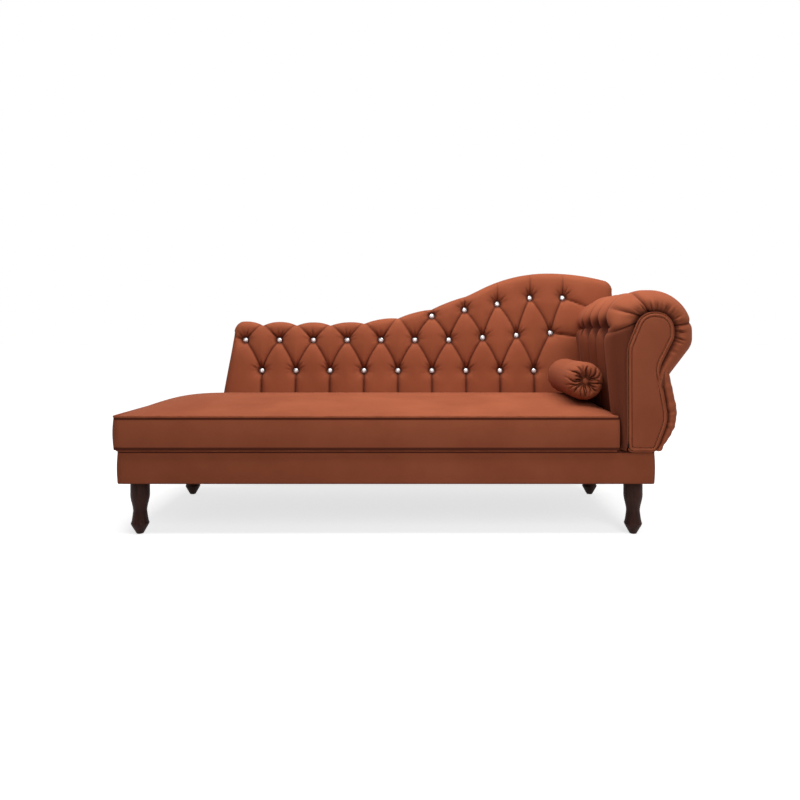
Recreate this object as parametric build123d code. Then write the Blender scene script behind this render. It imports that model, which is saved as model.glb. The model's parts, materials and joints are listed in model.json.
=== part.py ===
from build123d import *
import os
from math import asin, atan2, cos, degrees, pi, radians, sin, sqrt

# Recamier: a long daybed on four turned legs, with a wave shaped tufted back,
# one scroll arm and a loose bolster that lies along the arm.
# Millimetres. +X runs to the scroll arm, -Y is the front, +Z is up.
# The origin is on the floor, under the middle of the overall box.

# Overall box
overall_length = 1850.0
overall_depth = 730.0

# Clearances
soft_gap = 0.3
hole_gap = 0.2
cut_past = 12.0

# Flat sides of the round forms
small_sides = 6
button_sides = 12
turned_sides = 32
bolster_sides = 48
arc_steps = 8
flat_error = 0.0001

# Base frame
leg_height = 172.0
rail_height = 107.0
rail_thickness = 25.0
band_thickness = 5.0
foot_end_overhang = 9.0
arm_front_overhang = 22.0
arm_reach = 123.0
back_reach = 53.0
cross_rail_height = 68.0
cross_rail_count = 3
corner_block_leg = 80.0
corner_block_height = 60.0
dust_cover_thickness = 1.0
strap_width = 60.0
strap_thickness = 2.0
base_welt_radius = 2.5
leg_inset = 55.0

# Turned legs
leg_top_radius = 30.5
leg_straight = 44.0
leg_ankle_radius = 21.5
leg_ankle_height = 74.0
leg_knee_radius = 28.8
leg_knee_height = 34.0
leg_foot_radius = 11.5
hanger_bolt_radius = 4.0
hanger_bolt_in_leg = 40.0
tee_nut_radius = 11.0
tee_nut_flange = 2.0
tee_nut_barrel_radius = 5.5
tee_nut_barrel = 12.0

# Seat
seat_front_overhang = 8.0
seat_edge_height = 108.0
seat_crown = 43.0
seat_crown_at_foot = 2.0
seat_crown_at_arm = 10.0
seat_crown_foot_run = 270.0
seat_crown_arm_run = 110.0
seat_front_bulge = 4.0
seat_cover_thickness = 3.0
seat_welt_radius = 4.0
seat_corner_radius = 16.0

# Back, measured up the lean from the top of the base, and along from the ends of the base
back_height = 604.0
back_low_height = 393.0
hump_from_arm_end = 227.0
hump_radius = 600.0
hump_fall_radius = 880.0
wave_slope = radians(27.0)
back_from_foot_end = 178.0
back_left_slant = 57.0
back_past_arm_end = 28.0
back_left_corner = 34.0
back_right_corner = 30.0
back_right_drop = 32.0
back_foot = 3.0
rear_cover_thickness = 3.0
post_depth = 45.0
post_width = 40.0
post_tongue = 37.0
post_tongue_drop = 86.0
post_below_edge = 44.0
board_thickness = 12.0
back_foam_thickness = 45.0
tufted_thickness = 45.0
border_thickness = 6.0
batten_height = 45.0
batten_heights = (23.0, 255.0)

# Tufting of the back
tufts_from_left = 45.0
tufts_from_arm_end = 223.0
top_row_closing = 0.97
lower_row_count = 9
middle_row_count = 10
top_row_count = 5
lower_row_height = 213.0
middle_row_height = 335.0
middle_row_rise = 28.0
middle_row_level_count = 7
top_row_height = 431.0
top_row_rise = 73.0
top_row_rise_count = 3
scallop_count = 7
scallop_rise = 18.0
scallop_fade = 2.0
dimple_radius = 26.0
dimple_depth = 22.0
button_radius = 11.0
button_thickness = 6.0
crystal_radius = 9.0
crystal_height = 6.0
cord_radius = 1.4
washer_radius = 8.0
washer_thickness = 2.0
pleat_half_width = 8.0
pleat_depth = 9.0
pleat_end_share = 2.0

# Scroll arm corners before rounding, as (past the base end, height, rounding)
arm_foot_height = leg_height + rail_height
arm_pad_foot_height = arm_foot_height + strap_thickness + soft_gap
facing_corners = [
    (-91.0, arm_foot_height, 16.0),
    (-91.5, arm_foot_height + 326.0, 70.0),
    (-46.0, arm_foot_height + 435.0, 52.0),
    (48.0, arm_foot_height + 435.0, 52.0),
    (48.0, arm_foot_height + 360.0, 40.0),
    (1.0, arm_foot_height + 265.0, 70.0),
    (29.5, arm_foot_height + 100.0, 110.0),
    (-7.0, arm_foot_height, 16.0),
]
roll_corners = [
    (-112.0, arm_pad_foot_height, 4.0),
    (-134.0, arm_foot_height + 209.0, 200.0),
    (-164.0, arm_foot_height + 507.0, 125.0),
    (arm_reach, arm_foot_height + 507.0, 130.0),
    (arm_reach, arm_foot_height + 338.0, 60.0),
    (50.0, arm_foot_height + 243.0, 8.0),
    (83.0, arm_foot_height + 91.0, 130.0),
    (21.0, arm_pad_foot_height, 4.0),
]
roll_radius = 136.0
roll_centre_z = arm_foot_height + 371.0
facing_thickness = 12.0
facing_edge = 3.0
facing_welt_radius = 4.2
arm_panel_thickness = 18.0
arm_foam_share = 0.5
arm_tuft_count = 4
arm_tuft_first = 122.0
arm_tuft_last_from_back = 105.0
arm_tuft_rise = 22.0
arm_groove_half_width = 9.0
arm_groove_depth = 11.0
arm_roll_groove_turn = 120.0
arm_button_radius = 9.0
arm_button_dome = 5.0
arm_batten = 24.0
sill_width = 60.0
sill_height = 28.0
frame_bolt_radius = 4.0
frame_bolt_head_radius = 8.0
frame_bolt_head = 4.0
arm_bolt_count = 3

# Bolster
bolster_radius = 64.0
bolster_from_arm_end = 201.0
bolster_from_front = 83.0
bolster_from_back = 88.7
bolster_end_round = 24.0
bolster_cover_thickness = 3.0
bolster_gather_count = 16
bolster_gather_depth = 6.0
bolster_gather_half_width = 4.0
bolster_button_radius = 9.0
bolster_button_dome = 4.8
bolster_dimple_depth = 9.0

# Places that follow from the sizes above
foot_end = -overall_length / 2
front = -overall_depth / 2
rear = overall_depth / 2
base_left = foot_end + foot_end_overhang
base_right = overall_length / 2 - arm_reach
base_front = front + arm_front_overhang
base_rear = rear - back_reach
base_middle = (base_front + base_rear) / 2
base_top = leg_height + rail_height
rail_left = base_left + band_thickness
rail_right = base_right - band_thickness
rail_front = base_front + band_thickness
rail_rear = base_rear - band_thickness
seat_bottom = base_top + strap_thickness + soft_gap
seat_edge = base_top + seat_edge_height
seat_front = base_front - seat_front_overhang
back_lean = asin(back_reach / back_height)
post_front = rear_cover_thickness + post_depth
board_front = post_front + board_thickness
foam_front = board_front + back_foam_thickness
back_thickness = foam_front + tufted_thickness
back_plane = Plane(
    origin=(0, base_rear, base_top),
    x_dir=(1, 0, 0),
    z_dir=(0, -cos(back_lean), sin(back_lean)),
)
back_left_bottom = base_left + back_from_foot_end
back_left_top = back_left_bottom + back_left_slant
back_right = base_right + back_past_arm_end
hump_x = base_right - hump_from_arm_end
middle_row_start = back_left_top + tufts_from_left
tuft_pitch = (base_right - tufts_from_arm_end - middle_row_start) / (middle_row_count - 1)
top_row_start = middle_row_start + tuft_pitch * (middle_row_count - top_row_count + 0.5)
top_row_pitch = tuft_pitch * top_row_closing
roll_centre_x = overall_length / 2 - roll_radius
arm_length = base_rear - back_thickness - front
arm_tuft_pitch = (arm_length - arm_tuft_first - arm_tuft_last_from_back) / (arm_tuft_count - 1)
bolster_x = base_right - bolster_from_arm_end
bolster_start = base_front + bolster_from_front
bolster_length = base_rear - back_thickness - bolster_from_back - bolster_start
legs_at = [
    (x, y)
    for x in (base_left + leg_inset, base_right - leg_inset)
    for y in (base_front + leg_inset, base_rear - leg_inset)
]
leg_names = ["leg_front_left", "leg_rear_left", "leg_front_right", "leg_rear_right"]
column = tuft_pitch / 2
post_xs = [
    middle_row_start + column * 0.5,
    middle_row_start + column * 6.5,
    (middle_row_start + column * 14 + top_row_start + top_row_pitch * 2) / 2,
    top_row_start + top_row_pitch * 4 + washer_radius + post_width / 2 + 3,
]
post_names = ["left", "mid_left", "mid_right", "right"]


def save(node, *pieces):
    """Write one node with all of its solids."""
    solids = [s for piece in pieces for s in piece.solids()]
    export_step(solids[0] if len(solids) == 1 else Compound(solids), f"parts/{node}.step")


def block(x0, x1, y0, y1, z0, z1):
    """A box between two corners."""
    middle = Pos((x0 + x1) / 2, (y0 + y1) / 2, (z0 + z1) / 2)
    return middle * Box(x1 - x0, y1 - y0, z1 - z0)


def polygon(*points):
    """A flat face through points in space."""
    return Face(Wire.make_polygon([Vector(p) for p in points], close=True))


def bar(start, end, radius, sides=0):
    """A bar between two points, round or with a number of flat sides."""
    start, end = Vector(*start), Vector(*end)
    plane = Plane(origin=start, z_dir=end - start)
    section = RegularPolygon(radius, sides) if sides else Circle(radius)
    return extrude(plane.location * section, amount=(end - start).length)


def flat_sided(*rings):
    """A solid with flat sides through closed rings of points, each side split in two if it is twisted."""
    sides = []
    for low, high in zip(rings, rings[1:]):
        for i, corner in enumerate(low):
            quad = [low[i - 1], corner, high[i], high[i - 1]]
            across = (quad[1] - quad[0]).cross(quad[3] - quad[0]).normalized()
            if abs(across.dot(quad[2] - quad[0])) < flat_error:
                sides.append(polygon(*quad))
            else:
                sides.append(polygon(*quad[:3]))
                sides.append(polygon(quad[0], *quad[2:]))
    return Solid(Shell([*sides, polygon(*rings[0]), polygon(*rings[-1])]))


def stack(place, sides, *levels):
    """A faceted turning along the normal of a plane, through rings of (radius, height)."""
    turns = [2 * pi * i / sides for i in range(sides)]
    return flat_sided(*[
        [place.from_local_coords(Vector(radius * cos(t), radius * sin(t), height)) for t in turns]
        for radius, height in levels
    ])


def covered_button(place, radius, dome):
    """A low domed button, flat underneath."""
    return stack(place, button_sides, (radius, 0), (radius * 0.82, dome * 0.62), (radius * 0.36, dome))


def groove(start, end, normal, half_width, depth, shares=(1.0, 1.0, 1.0)):
    """A V groove cutter from start to end, with its share of the size at the start, middle and end."""
    start, end, normal = Vector(*start), Vector(*end), Vector(*normal).normalized()
    across = (end - start).cross(normal).normalized()
    sections = []
    for along, share in zip((0, 0.5, 1), shares):
        middle = start + (end - start) * along
        top = middle + normal * cut_past
        flare = half_width * (share + cut_past / depth)
        sections.append([top - across * flare, top + across * flare, middle - normal * depth * share])
    return flat_sided(*sections)


def cross_strap_xs():
    """Strap places: midway between post places, along the whole base."""
    first = post_xs[0] + column
    pitch = tuft_pitch
    before = int((first - rail_left - strap_width / 2) / pitch)
    xs = [first + pitch * i for i in range(-before, 20)]
    return [x for x in xs if x + strap_width / 2 < post_xs[-1] - post_width / 2]


def leg_outline():
    """Half outline of a turned leg from the floor up, as (radius, height)."""
    neck = leg_height - leg_straight
    outline = [(leg_foot_radius, 0), (leg_knee_radius, leg_knee_height)]
    for share in (0.25, 0.6, 1.0):
        radius = leg_knee_radius + (leg_ankle_radius - leg_knee_radius) * sqrt(share)
        outline.append((radius, leg_knee_height + (leg_ankle_height - leg_knee_height) * share))
    for share in (0.2, 0.4, 0.6, 0.8, 1.0):
        swell = share * share * (3 - 2 * share)
        radius = leg_ankle_radius + (leg_top_radius - leg_ankle_radius) * swell
        outline.append((radius, leg_ankle_height + (neck - leg_ankle_height) * share))
    return [*outline, (leg_top_radius, leg_height)]


def build_legs():
    """Four turned legs on hanger bolts, with a tee nut above each corner block."""
    bore_bottom = leg_height - hanger_bolt_in_leg
    bore = bar((0, 0, bore_bottom), (0, 0, leg_height + 1), hanger_bolt_radius + hole_gap, small_sides)
    leg = stack(Plane.XY, turned_sides, *leg_outline()) - bore
    for name, (x, y) in zip(leg_names, legs_at):
        save(name, Pos(x, y, 0) * leg)
    bolt_top = leg_height + corner_block_height
    bolt = bar((0, 0, bore_bottom), (0, 0, bolt_top), hanger_bolt_radius, small_sides)
    save("leg_hanger_bolts", *[Pos(x, y, 0) * bolt for x, y in legs_at])
    barrel_low = bolt_top - tee_nut_barrel
    flange_top = bolt_top + tee_nut_flange
    nut = bar((0, 0, barrel_low), (0, 0, bolt_top), tee_nut_barrel_radius, small_sides)
    nut += bar((0, 0, bolt_top), (0, 0, flange_top), tee_nut_radius, small_sides)
    nut -= bar((0, 0, barrel_low - 1), (0, 0, flange_top + 1), hanger_bolt_radius + hole_gap, small_sides)
    save("leg_tee_nuts", *[Pos(x, y, 0) * nut for x, y in legs_at])


def build_base():
    """Rails, blocks, webbing, dust cover and the cloth band round the outside."""
    inner_left = rail_left + rail_thickness
    inner_right = rail_right - rail_thickness
    inner_front = rail_front + rail_thickness
    inner_rear = rail_rear - rail_thickness
    save("front_rail", block(rail_left, rail_right, rail_front, inner_front, leg_height, base_top))
    rear_rail = block(rail_left, rail_right, inner_rear, rail_rear, leg_height, base_top)
    save("rear_rail", rear_rail - [bolt for x in post_xs for bolt in back_bolt_holes(x)])
    save("left_rail", block(rail_left, inner_left, inner_front, inner_rear, leg_height, base_top))
    right_rail = block(inner_right, rail_right, inner_front, inner_rear, leg_height, base_top)
    save("right_rail", right_rail - arm_bolt_holes())

    straps = cross_strap_xs()
    step = (len(straps) - 1) / (cross_rail_count + 1)
    rail_xs = [straps[round(step * (i + 1))] for i in range(cross_rail_count)]
    half = rail_thickness / 2
    for index, x in enumerate(rail_xs, 1):
        cross = block(
            x - half, x + half, inner_front, inner_rear, leg_height, leg_height + cross_rail_height
        )
        save(f"cross_rail_{index}", cross)

    blocks = []
    for x, y in legs_at:
        to_x = 1 if x < 0 else -1
        to_y = 1 if y < base_middle else -1
        corner_x = inner_left if x < 0 else inner_right
        corner_y = inner_front if y < base_middle else inner_rear
        triangle = polygon(
            (corner_x, corner_y, leg_height),
            (corner_x + to_x * corner_block_leg, corner_y, leg_height),
            (corner_x, corner_y + to_y * corner_block_leg, leg_height),
        )
        solid = extrude(triangle, amount=corner_block_height, dir=(0, 0, 1))
        top = leg_height + corner_block_height
        bore_radius = hanger_bolt_radius + hole_gap
        bore = bar((x, y, leg_height - 1), (x, y, top + 1), bore_radius, small_sides)
        barrel = bar((x, y, top - tee_nut_barrel - hole_gap), (x, y, top + 1),
                     tee_nut_barrel_radius + hole_gap, small_sides)
        blocks.append(solid - bore - barrel)
    save("corner_blocks", *blocks)

    save("webbing_straps", *[
        block(x - strap_width / 2, x + strap_width / 2, rail_front, rail_rear,
              base_top, base_top + strap_thickness)
        for x in straps
    ])

    low = leg_height - dust_cover_thickness
    sheet = block(rail_left, rail_right, rail_front, rail_rear, low, leg_height)
    holes = [
        bar((x, y, low - 1), (x, y, leg_height + 1), leg_top_radius + soft_gap, turned_sides)
        for x, y in legs_at
    ]
    save("dust_cover", sheet - holes)

    band_front = block(base_left, base_right, base_front, rail_front, low, base_top)
    band_front = fillet(band_front.edges().filter_by(Axis.Z).group_by(Axis.Y)[0], band_thickness - 1)
    save("base_band_front", band_front)
    band_rear = block(base_left, base_right, rail_rear, base_rear, low, base_top)
    band_rear = fillet(band_rear.edges().filter_by(Axis.Z).group_by(Axis.Y)[-1], band_thickness - 1)
    save("base_band_rear", band_rear)
    save("base_band_left", block(base_left, rail_left, rail_front, rail_rear, low, base_top))
    save("base_band_right", block(rail_right, base_right, rail_front, rail_rear, low, base_top))

    welt_out = base_welt_radius + soft_gap / 2
    welt_z = seat_bottom - base_welt_radius - soft_gap / 2
    welt_path = FilletPolyline(
        (base_right + roll_corners[0][0] - cut_past, base_front - welt_out, welt_z),
        (base_left - welt_out, base_front - welt_out, welt_z),
        (base_left - welt_out, base_rear, welt_z),
        radius=2 * welt_out,
    )
    start = Plane(origin=welt_path @ 0, z_dir=welt_path % 0)
    save("base_welt", sweep(start.location * RegularPolygon(base_welt_radius, small_sides), welt_path))


def seat_section(x, crown, inset):
    """The seat cut across at x: flat below, bulged in front, crowned above."""
    y0, y1 = seat_front + inset, base_rear - inset
    z0, z1 = seat_bottom, seat_edge - inset
    bulge = seat_front_bulge
    top = ThreePointArc((x, y1, z1), (x, (y0 + y1) / 2, z1 + crown), (x, y0, z1))
    face = ThreePointArc((x, y0, z1), (x, y0 - bulge, (z0 + z1) / 2), (x, y0, z0))
    under = Line((x, y0, z0), (x, y1, z0))
    end = Line((x, y1, z0), (x, y1, z1))
    return make_face([top, face, under, end])


def crown_at(x):
    """Height of the seat's crown over its edge, along the middle of the seat."""
    from_foot = min(1.0, (x - foot_end) / seat_crown_foot_run)
    from_arm = min(1.0, max(0.0, (seat_right() - x) / seat_crown_arm_run))
    rise_foot = (seat_crown - seat_crown_at_foot) * (1 - from_foot) ** 3
    rise_arm = (seat_crown - seat_crown_at_arm) * (1 - from_arm) ** 3
    return seat_crown - rise_foot - rise_arm


def seat_stations():
    """Places along the seat where its cross section is drawn, closer together near the ends."""
    shares = (0.08, 0.2, 0.38, 0.6, 1.0)
    from_foot = [foot_end + seat_crown_foot_run * s for s in shares]
    to_arm = [seat_right() - seat_crown_arm_run * s for s in reversed(shares)]
    return [*from_foot, *to_arm, seat_right()]


def ruled_crown_at(x):
    """The crown between two stations, where the seat runs straight."""
    stations = seat_stations()
    for x0, x1 in zip(stations, stations[1:]):
        if x0 <= x <= x1:
            share = (x - x0) / (x1 - x0)
            return crown_at(x0) + (crown_at(x1) - crown_at(x0)) * share
    return crown_at(x)


def seat_form(inset, past_arm_end=0.0):
    """The crowned seat, drawn in by an inset in front, behind, above and at the foot."""
    end = seat_right()
    stations = [foot_end + inset, *seat_stations()]
    stations += [end + past_arm_end] if past_arm_end else []
    return loft([seat_section(x, crown_at(min(x, end)), inset) for x in stations], ruled=True)


def seat_right():
    """The arm end of the seat, just clear of the leaning inner face of the arm."""
    low, high = roll_corners[0], roll_corners[1]
    share = (seat_edge + seat_crown_at_arm - low[1]) / (high[1] - low[1])
    return base_right + low[0] + (high[0] - low[0]) * share - 2 * soft_gap


def back_left(up):
    """The slanted left edge of the back at a height up it."""
    return back_left_bottom + back_left_slant * up / (back_low_height - back_left_corner)


def behind_back(clear):
    """Everything behind the front plane of the back, from its left edge on."""
    low, high = -overall_depth, overall_depth
    corners = [
        (back_left(low) - clear, low),
        (overall_length, low),
        (overall_length, high),
        (back_left(high) - clear, high),
    ]
    sheet = make_face(Polyline(*corners, close=True))
    return extrude(back_plane.location * sheet, amount=back_thickness + clear)


def build_seat():
    """Foam block, crowned top panel, boxing and the welt round the top edge."""
    welt_in = seat_welt_radius + soft_gap / 2
    welt_path = FilletPolyline(
        (seat_right(), seat_front + seat_welt_radius, seat_edge),
        (foot_end + seat_welt_radius, seat_front + seat_welt_radius, seat_edge),
        (foot_end + seat_welt_radius, base_rear - seat_welt_radius, seat_edge),
        (back_left(seat_edge_height) + cut_past, base_rear - seat_welt_radius, seat_edge),
        radius=seat_corner_radius,
    )
    start = Plane(origin=welt_path @ 0, x_dir=(0, 1, 0), z_dir=welt_path % 0)
    welt = sweep(start.location * RegularPolygon(seat_welt_radius, small_sides), welt_path)
    room_size = welt_in + cut_past
    room_face = Pos(welt_in - room_size / 2, welt_in - room_size / 2) * Rectangle(room_size, room_size)
    room = sweep(start.location * room_face, welt_path)
    notch = behind_back(soft_gap)
    outer = seat_form(0.0) - seat_corner_cut(0.0)
    inner = seat_form(seat_cover_thickness, cut_past) - seat_corner_cut(seat_cover_thickness)
    foam_inset = seat_cover_thickness + soft_gap
    foam = seat_form(foam_inset) - seat_corner_cut(foam_inset) - room - notch
    save("seat_foam", foam)
    skin = outer - inner - room - notch
    panels = sorted(skin.solids(), key=lambda s: s.bounding_box().max.Z)
    save("seat_boxing", *panels[:-1])
    save("seat_top_cover", panels[-1])
    save("seat_welt", welt - notch)


def seat_corner_cut(inset):
    """Cutters that round the two corners at the foot end, drawn in by an inset."""
    size = seat_corner_radius
    centre_x = foot_end + size
    low, high = seat_bottom - cut_past, seat_edge + seat_crown + cut_past
    cutters = []
    for y, to_y in ((seat_front, 1), (base_rear, -1)):
        centre_y = y + to_y * size
        outside_y = y - to_y * size
        square = block(foot_end - size, centre_x, min(centre_y, outside_y), max(centre_y, outside_y),
                       low, high)
        post = bar((centre_x, centre_y, low - 1), (centre_x, centre_y, high + 1), size - inset)
        cutters.append(square - post)
    return cutters


def wave(x, inset=0.0):
    """Height of the back's top edge at x: low run, hollow, hump and fall."""
    turn_x = hump_x - hump_radius * sin(wave_slope)
    turn_h = back_height - hump_radius * (1 - cos(wave_slope))
    hollow_radius = (turn_h - back_low_height) / (1 - cos(wave_slope))
    hollow_x = turn_x - hollow_radius * sin(wave_slope)
    if x <= hollow_x:
        return back_low_height - inset
    if x <= turn_x:
        reach = hollow_radius + inset
        return back_low_height + hollow_radius - sqrt(reach**2 - (x - hollow_x) ** 2)
    radius = hump_radius if x <= hump_x else hump_fall_radius
    return back_height - radius + sqrt((radius - inset) ** 2 - (x - hump_x) ** 2)


def lower_xs():
    """Places of the lower buttons, which are also the places of the scallop valleys."""
    return [middle_row_start + tuft_pitch * (i + 0.5) for i in range(lower_row_count)]


def back_outline(inset=0.0, scalloped=False, foot=back_foot):
    """The wave outline of the back in its own plane, drawn in by an inset."""
    right = back_right - inset
    shoulder = back_low_height - back_left_corner
    left = back_left(foot) + inset
    turn_x = hump_x - hump_radius * sin(wave_slope)
    hollow_radius = (wave(turn_x) - back_low_height) / (1 - cos(wave_slope))
    hollow_x = turn_x - hollow_radius * sin(wave_slope)
    fall_x = back_right - back_right_corner
    corner = (back_left_top + inset, shoulder)
    edges = [Line((left, foot), corner)]
    if scalloped:
        knots = lower_xs()[:scallop_count] + [turn_x, hump_x, fall_x]
        rises = [scallop_rise - scallop_fade * i for i in range(1, scallop_count)] + [0, 0, 0]
        crest_x = middle_row_start - column * 0.1
        crest = (crest_x, wave(crest_x, inset) + scallop_rise * 0.4)
    else:
        knots = [back_left_top + back_left_corner, hollow_x, turn_x, hump_x, fall_x]
        rises = [0] * len(knots)
        bend = (back_left_corner - inset) * sqrt(0.5)
        crest = (knots[0] - bend, shoulder + bend)
    edges.append(ThreePointArc(corner, crest, (knots[0], wave(knots[0], inset))))
    for x0, x1, rise in zip(knots, knots[1:], rises):
        ends = ((x0, wave(x0, inset)), (x1, wave(x1, inset)))
        top = wave((x0 + x1) / 2, inset) + rise
        level = abs(top - (ends[0][1] + ends[1][1]) / 2) < 0.001
        edges.append(Line(*ends) if level else ThreePointArc(ends[0], ((x0 + x1) / 2, top), ends[1]))
    low = wave(fall_x) - back_right_drop
    across = (back_right_corner - inset) * sqrt(0.5)
    above = (back_right_drop - inset) * sqrt(0.5)
    edges.append(ThreePointArc(edges[-1] @ 1, (fall_x + across, low + above), (right, low)))
    edges.append(Line((right, low), (right, foot)))
    edges.append(Line((right, foot), (left, foot)))
    return make_face(edges)


def back_layer(face, near, far):
    """A face drawn in the back's plane, made solid between two distances from its rear."""
    return extrude(back_plane.offset(near).location * face, amount=far - near)


def back_point(x, up, depth):
    """A point of the back in space."""
    return tuple(back_plane.from_local_coords(Vector(x, up, depth)))


def tuft_rows():
    """Button places of the lower, middle and top rows, as (x, height up the back)."""
    lower = [(x, lower_row_height) for x in lower_xs()]
    steps = middle_row_count - middle_row_level_count
    middle = [
        (middle_row_start + tuft_pitch * i,
         middle_row_height + middle_row_rise * max(0, i + 1 - middle_row_level_count) / steps)
        for i in range(middle_row_count)
    ]
    top = []
    for i in range(top_row_count):
        x = top_row_start + top_row_pitch * i
        height = top_row_height + top_row_rise * min(i / top_row_rise_count, 1)
        top.append((x, min(height, wave(x) - dimple_radius)))
    return lower, middle, top


def tuft_pleats():
    """Pleat lines between buttons and out to the edges, as (start, end)."""
    lower, middle, top = tuft_rows()
    first_top = middle_row_count - top_row_count
    pleats = []
    for index, point in enumerate(lower):
        pleats.append((point, middle[index]))
        pleats.append((point, middle[index + 1]))
        pleats.append((point, (point[0], -cut_past)))
    for index, point in enumerate(middle[:first_top + 1]):
        sides = [i for i in (index - 1, index) if 0 <= i < first_top]
        for side in sides:
            x = lower[side][0]
            pleats.append((point, (x, wave(x) + cut_past)))
    for index, point in enumerate(top):
        pleats.append((point, middle[first_top + index]))
        if first_top + index + 1 < middle_row_count:
            pleats.append((point, middle[first_top + index + 1]))
        pleats.append((point, (point[0], wave(point[0]) + cut_past)))
    end_x = back_right - back_right_corner
    pleats.append((top[-1], (end_x, top[-1][1] - column)))
    pleats.append((middle[-1], (end_x, middle[-1][1] - column / 2)))
    pleats.append((middle[0], (back_left_top - cut_past, middle[0][1] + column / 4)))
    return pleats


def back_bolt_lines(x):
    """The two bolt lines of a post, through the rear rail and the post's tongue."""
    inner = rail_rear - rail_thickness
    heights = (base_top - post_tongue_drop * 0.3, base_top - post_tongue_drop * 0.75)
    return [((x, inner - post_tongue, z), (x, rail_rear, z)) for z in heights]


def back_bolt_holes(x):
    """Cutters for the bolts of one post."""
    cutters = []
    for start, end in back_bolt_lines(x):
        near = (start[0], start[1] - 1, start[2])
        far = (end[0], end[1] + 1, end[2])
        cutters.append(bar(near, far, frame_bolt_radius + hole_gap, small_sides))
    return cutters


def build_back_frame():
    """Notched posts on the rear rail, battens, the shaped board and the bolts."""
    inner = rail_rear - rail_thickness
    tongue_front = inner - post_tongue
    for name, x in zip(post_names, post_xs):
        height = min(wave(x - post_width / 2), wave(x + post_width / 2)) - post_below_edge
        top_rear = back_point(x, height, rear_cover_thickness)
        top_front = back_point(x, height, post_front)
        foot_front = back_point(x, 0, post_front)
        foot_rear_y = base_rear - rear_cover_thickness / cos(back_lean)
        side = polygon(
            (x - post_width / 2, inner, base_top - post_tongue_drop),
            (x - post_width / 2, inner, base_top),
            (x - post_width / 2, foot_rear_y, base_top),
            (x - post_width / 2, top_rear[1], top_rear[2]),
            (x - post_width / 2, top_front[1], top_front[2]),
            (x - post_width / 2, foot_front[1], foot_front[2]),
            (x - post_width / 2, tongue_front, base_top - post_tongue_drop * 0.1),
            (x - post_width / 2, tongue_front, base_top - post_tongue_drop),
        )
        post = extrude(side, amount=post_width, dir=(1, 0, 0))
        save(f"back_post_{name}", post - back_bolt_holes(x))

    battens = []
    for x0, x1 in zip(post_xs, post_xs[1:]):
        length = x1 - x0 - post_width
        for height in batten_heights:
            sheet = Pos((x0 + x1) / 2, height + batten_height / 2) * Rectangle(length, batten_height)
            battens.append(back_layer(sheet, post_front - rail_thickness, post_front))
    save("back_battens", *battens)

    buttons = [p for row in tuft_rows() for p in row]
    board = back_layer(back_outline(border_thickness + soft_gap), post_front, board_front)
    holes = [
        bar(back_point(x, up, post_front - 1), back_point(x, up, board_front + 1),
            cord_radius + hole_gap, small_sides)
        for x, up in buttons
    ]
    save("back_board", board - holes)

    bolts = []
    for x in post_xs:
        for start, end in back_bolt_lines(x):
            head_far = (start[0], start[1] - frame_bolt_head, start[2])
            shank = bar(start, end, frame_bolt_radius, small_sides)
            bolts.append(shank + bar(head_far, start, frame_bolt_head_radius, small_sides))
    save("back_bolts", *bolts)


def build_back_upholstery():
    """Foam, diamond tufted cover, border, rear cover and the tufting hardware."""
    buttons = [p for row in tuft_rows() for p in row]
    foam = back_layer(back_outline(border_thickness + soft_gap), board_front, foam_front)
    holes = [
        bar(back_point(x, up, board_front - 1), back_point(x, up, foam_front + 1),
            cord_radius + hole_gap, small_sides)
        for x, up in buttons
    ]
    save("back_foam", foam - holes)

    border_inner = back_outline(border_thickness, foot=-cut_past)
    ring = back_outline() - border_inner
    save("back_border", back_layer(ring, 0, foam_front))
    cover_face = back_outline(border_thickness + soft_gap)
    save("back_rear_cover", back_layer(cover_face, 0, rear_cover_thickness))

    crown = tufted_thickness
    steps = [(0.0, 0.0), (crown * 0.42, 0.0), (crown * 0.72, 5.0), (crown * 0.92, 15.0), (crown, 28.0)]
    sections = [
        back_plane.offset(foam_front + rise).location * back_outline(inset, scalloped=True)
        for rise, inset in steps
    ]
    quilt = loft(sections, ruled=True)
    normal = tuple(back_plane.z_dir)
    cutters = []
    for start, end in tuft_pleats():
        cutters.append(groove(
            back_point(*start, back_thickness), back_point(*end, back_thickness), normal,
            pleat_half_width, pleat_depth, (pleat_end_share, 1.0, pleat_end_share),
        ))
    seat_depth = dimple_depth + button_thickness
    for x, up in buttons:
        place = Plane(origin=back_point(x, up, back_thickness), z_dir=normal, x_dir=(1, 0, 0))
        wide = dimple_radius * (1 + cut_past / dimple_depth)
        seat_radius = button_radius + hole_gap
        cutters.append(stack(
            place, small_sides, (wide, cut_past), (seat_radius, -dimple_depth), (seat_radius, -seat_depth)
        ))
        far = back_point(x, up, foam_front - 1)
        cutters.append(bar(far, back_point(x, up, back_thickness), cord_radius + hole_gap, small_sides))
    save("back_tufted_cover", quilt.cut(*[s for c in cutters for s in c.solids()]))

    cups, crystals, cords, washers = [], [], [], []
    bed = back_thickness - seat_depth
    for x, up in buttons:
        place = Plane(origin=back_point(x, up, bed), z_dir=normal, x_dir=(1, 0, 0))
        half = button_thickness * 0.5
        rim = crystal_radius + hole_gap
        shell = stack(
            place, small_sides,
            (button_radius * 0.72, 0), (button_radius, half), (button_radius, button_thickness),
        )
        cups.append(shell - stack(place, small_sides, (rim, half), (rim, button_thickness + 1)))
        crystals.append(stack(
            place, small_sides, (crystal_radius, half), (crystal_radius, button_thickness * 0.8),
            (crystal_radius * 0.5, half + crystal_height),
        ))
        cords.append(bar(back_point(x, up, post_front), back_point(x, up, bed), cord_radius, small_sides))
        washer_back = back_point(x, up, post_front - washer_thickness)
        washers.append(bar(washer_back, back_point(x, up, post_front), washer_radius, small_sides))
    save("tuft_button_cups", *cups)
    save("tuft_crystals", *crystals)
    save("tuft_cords", *cords)
    save("tuft_washers", *washers)


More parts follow.
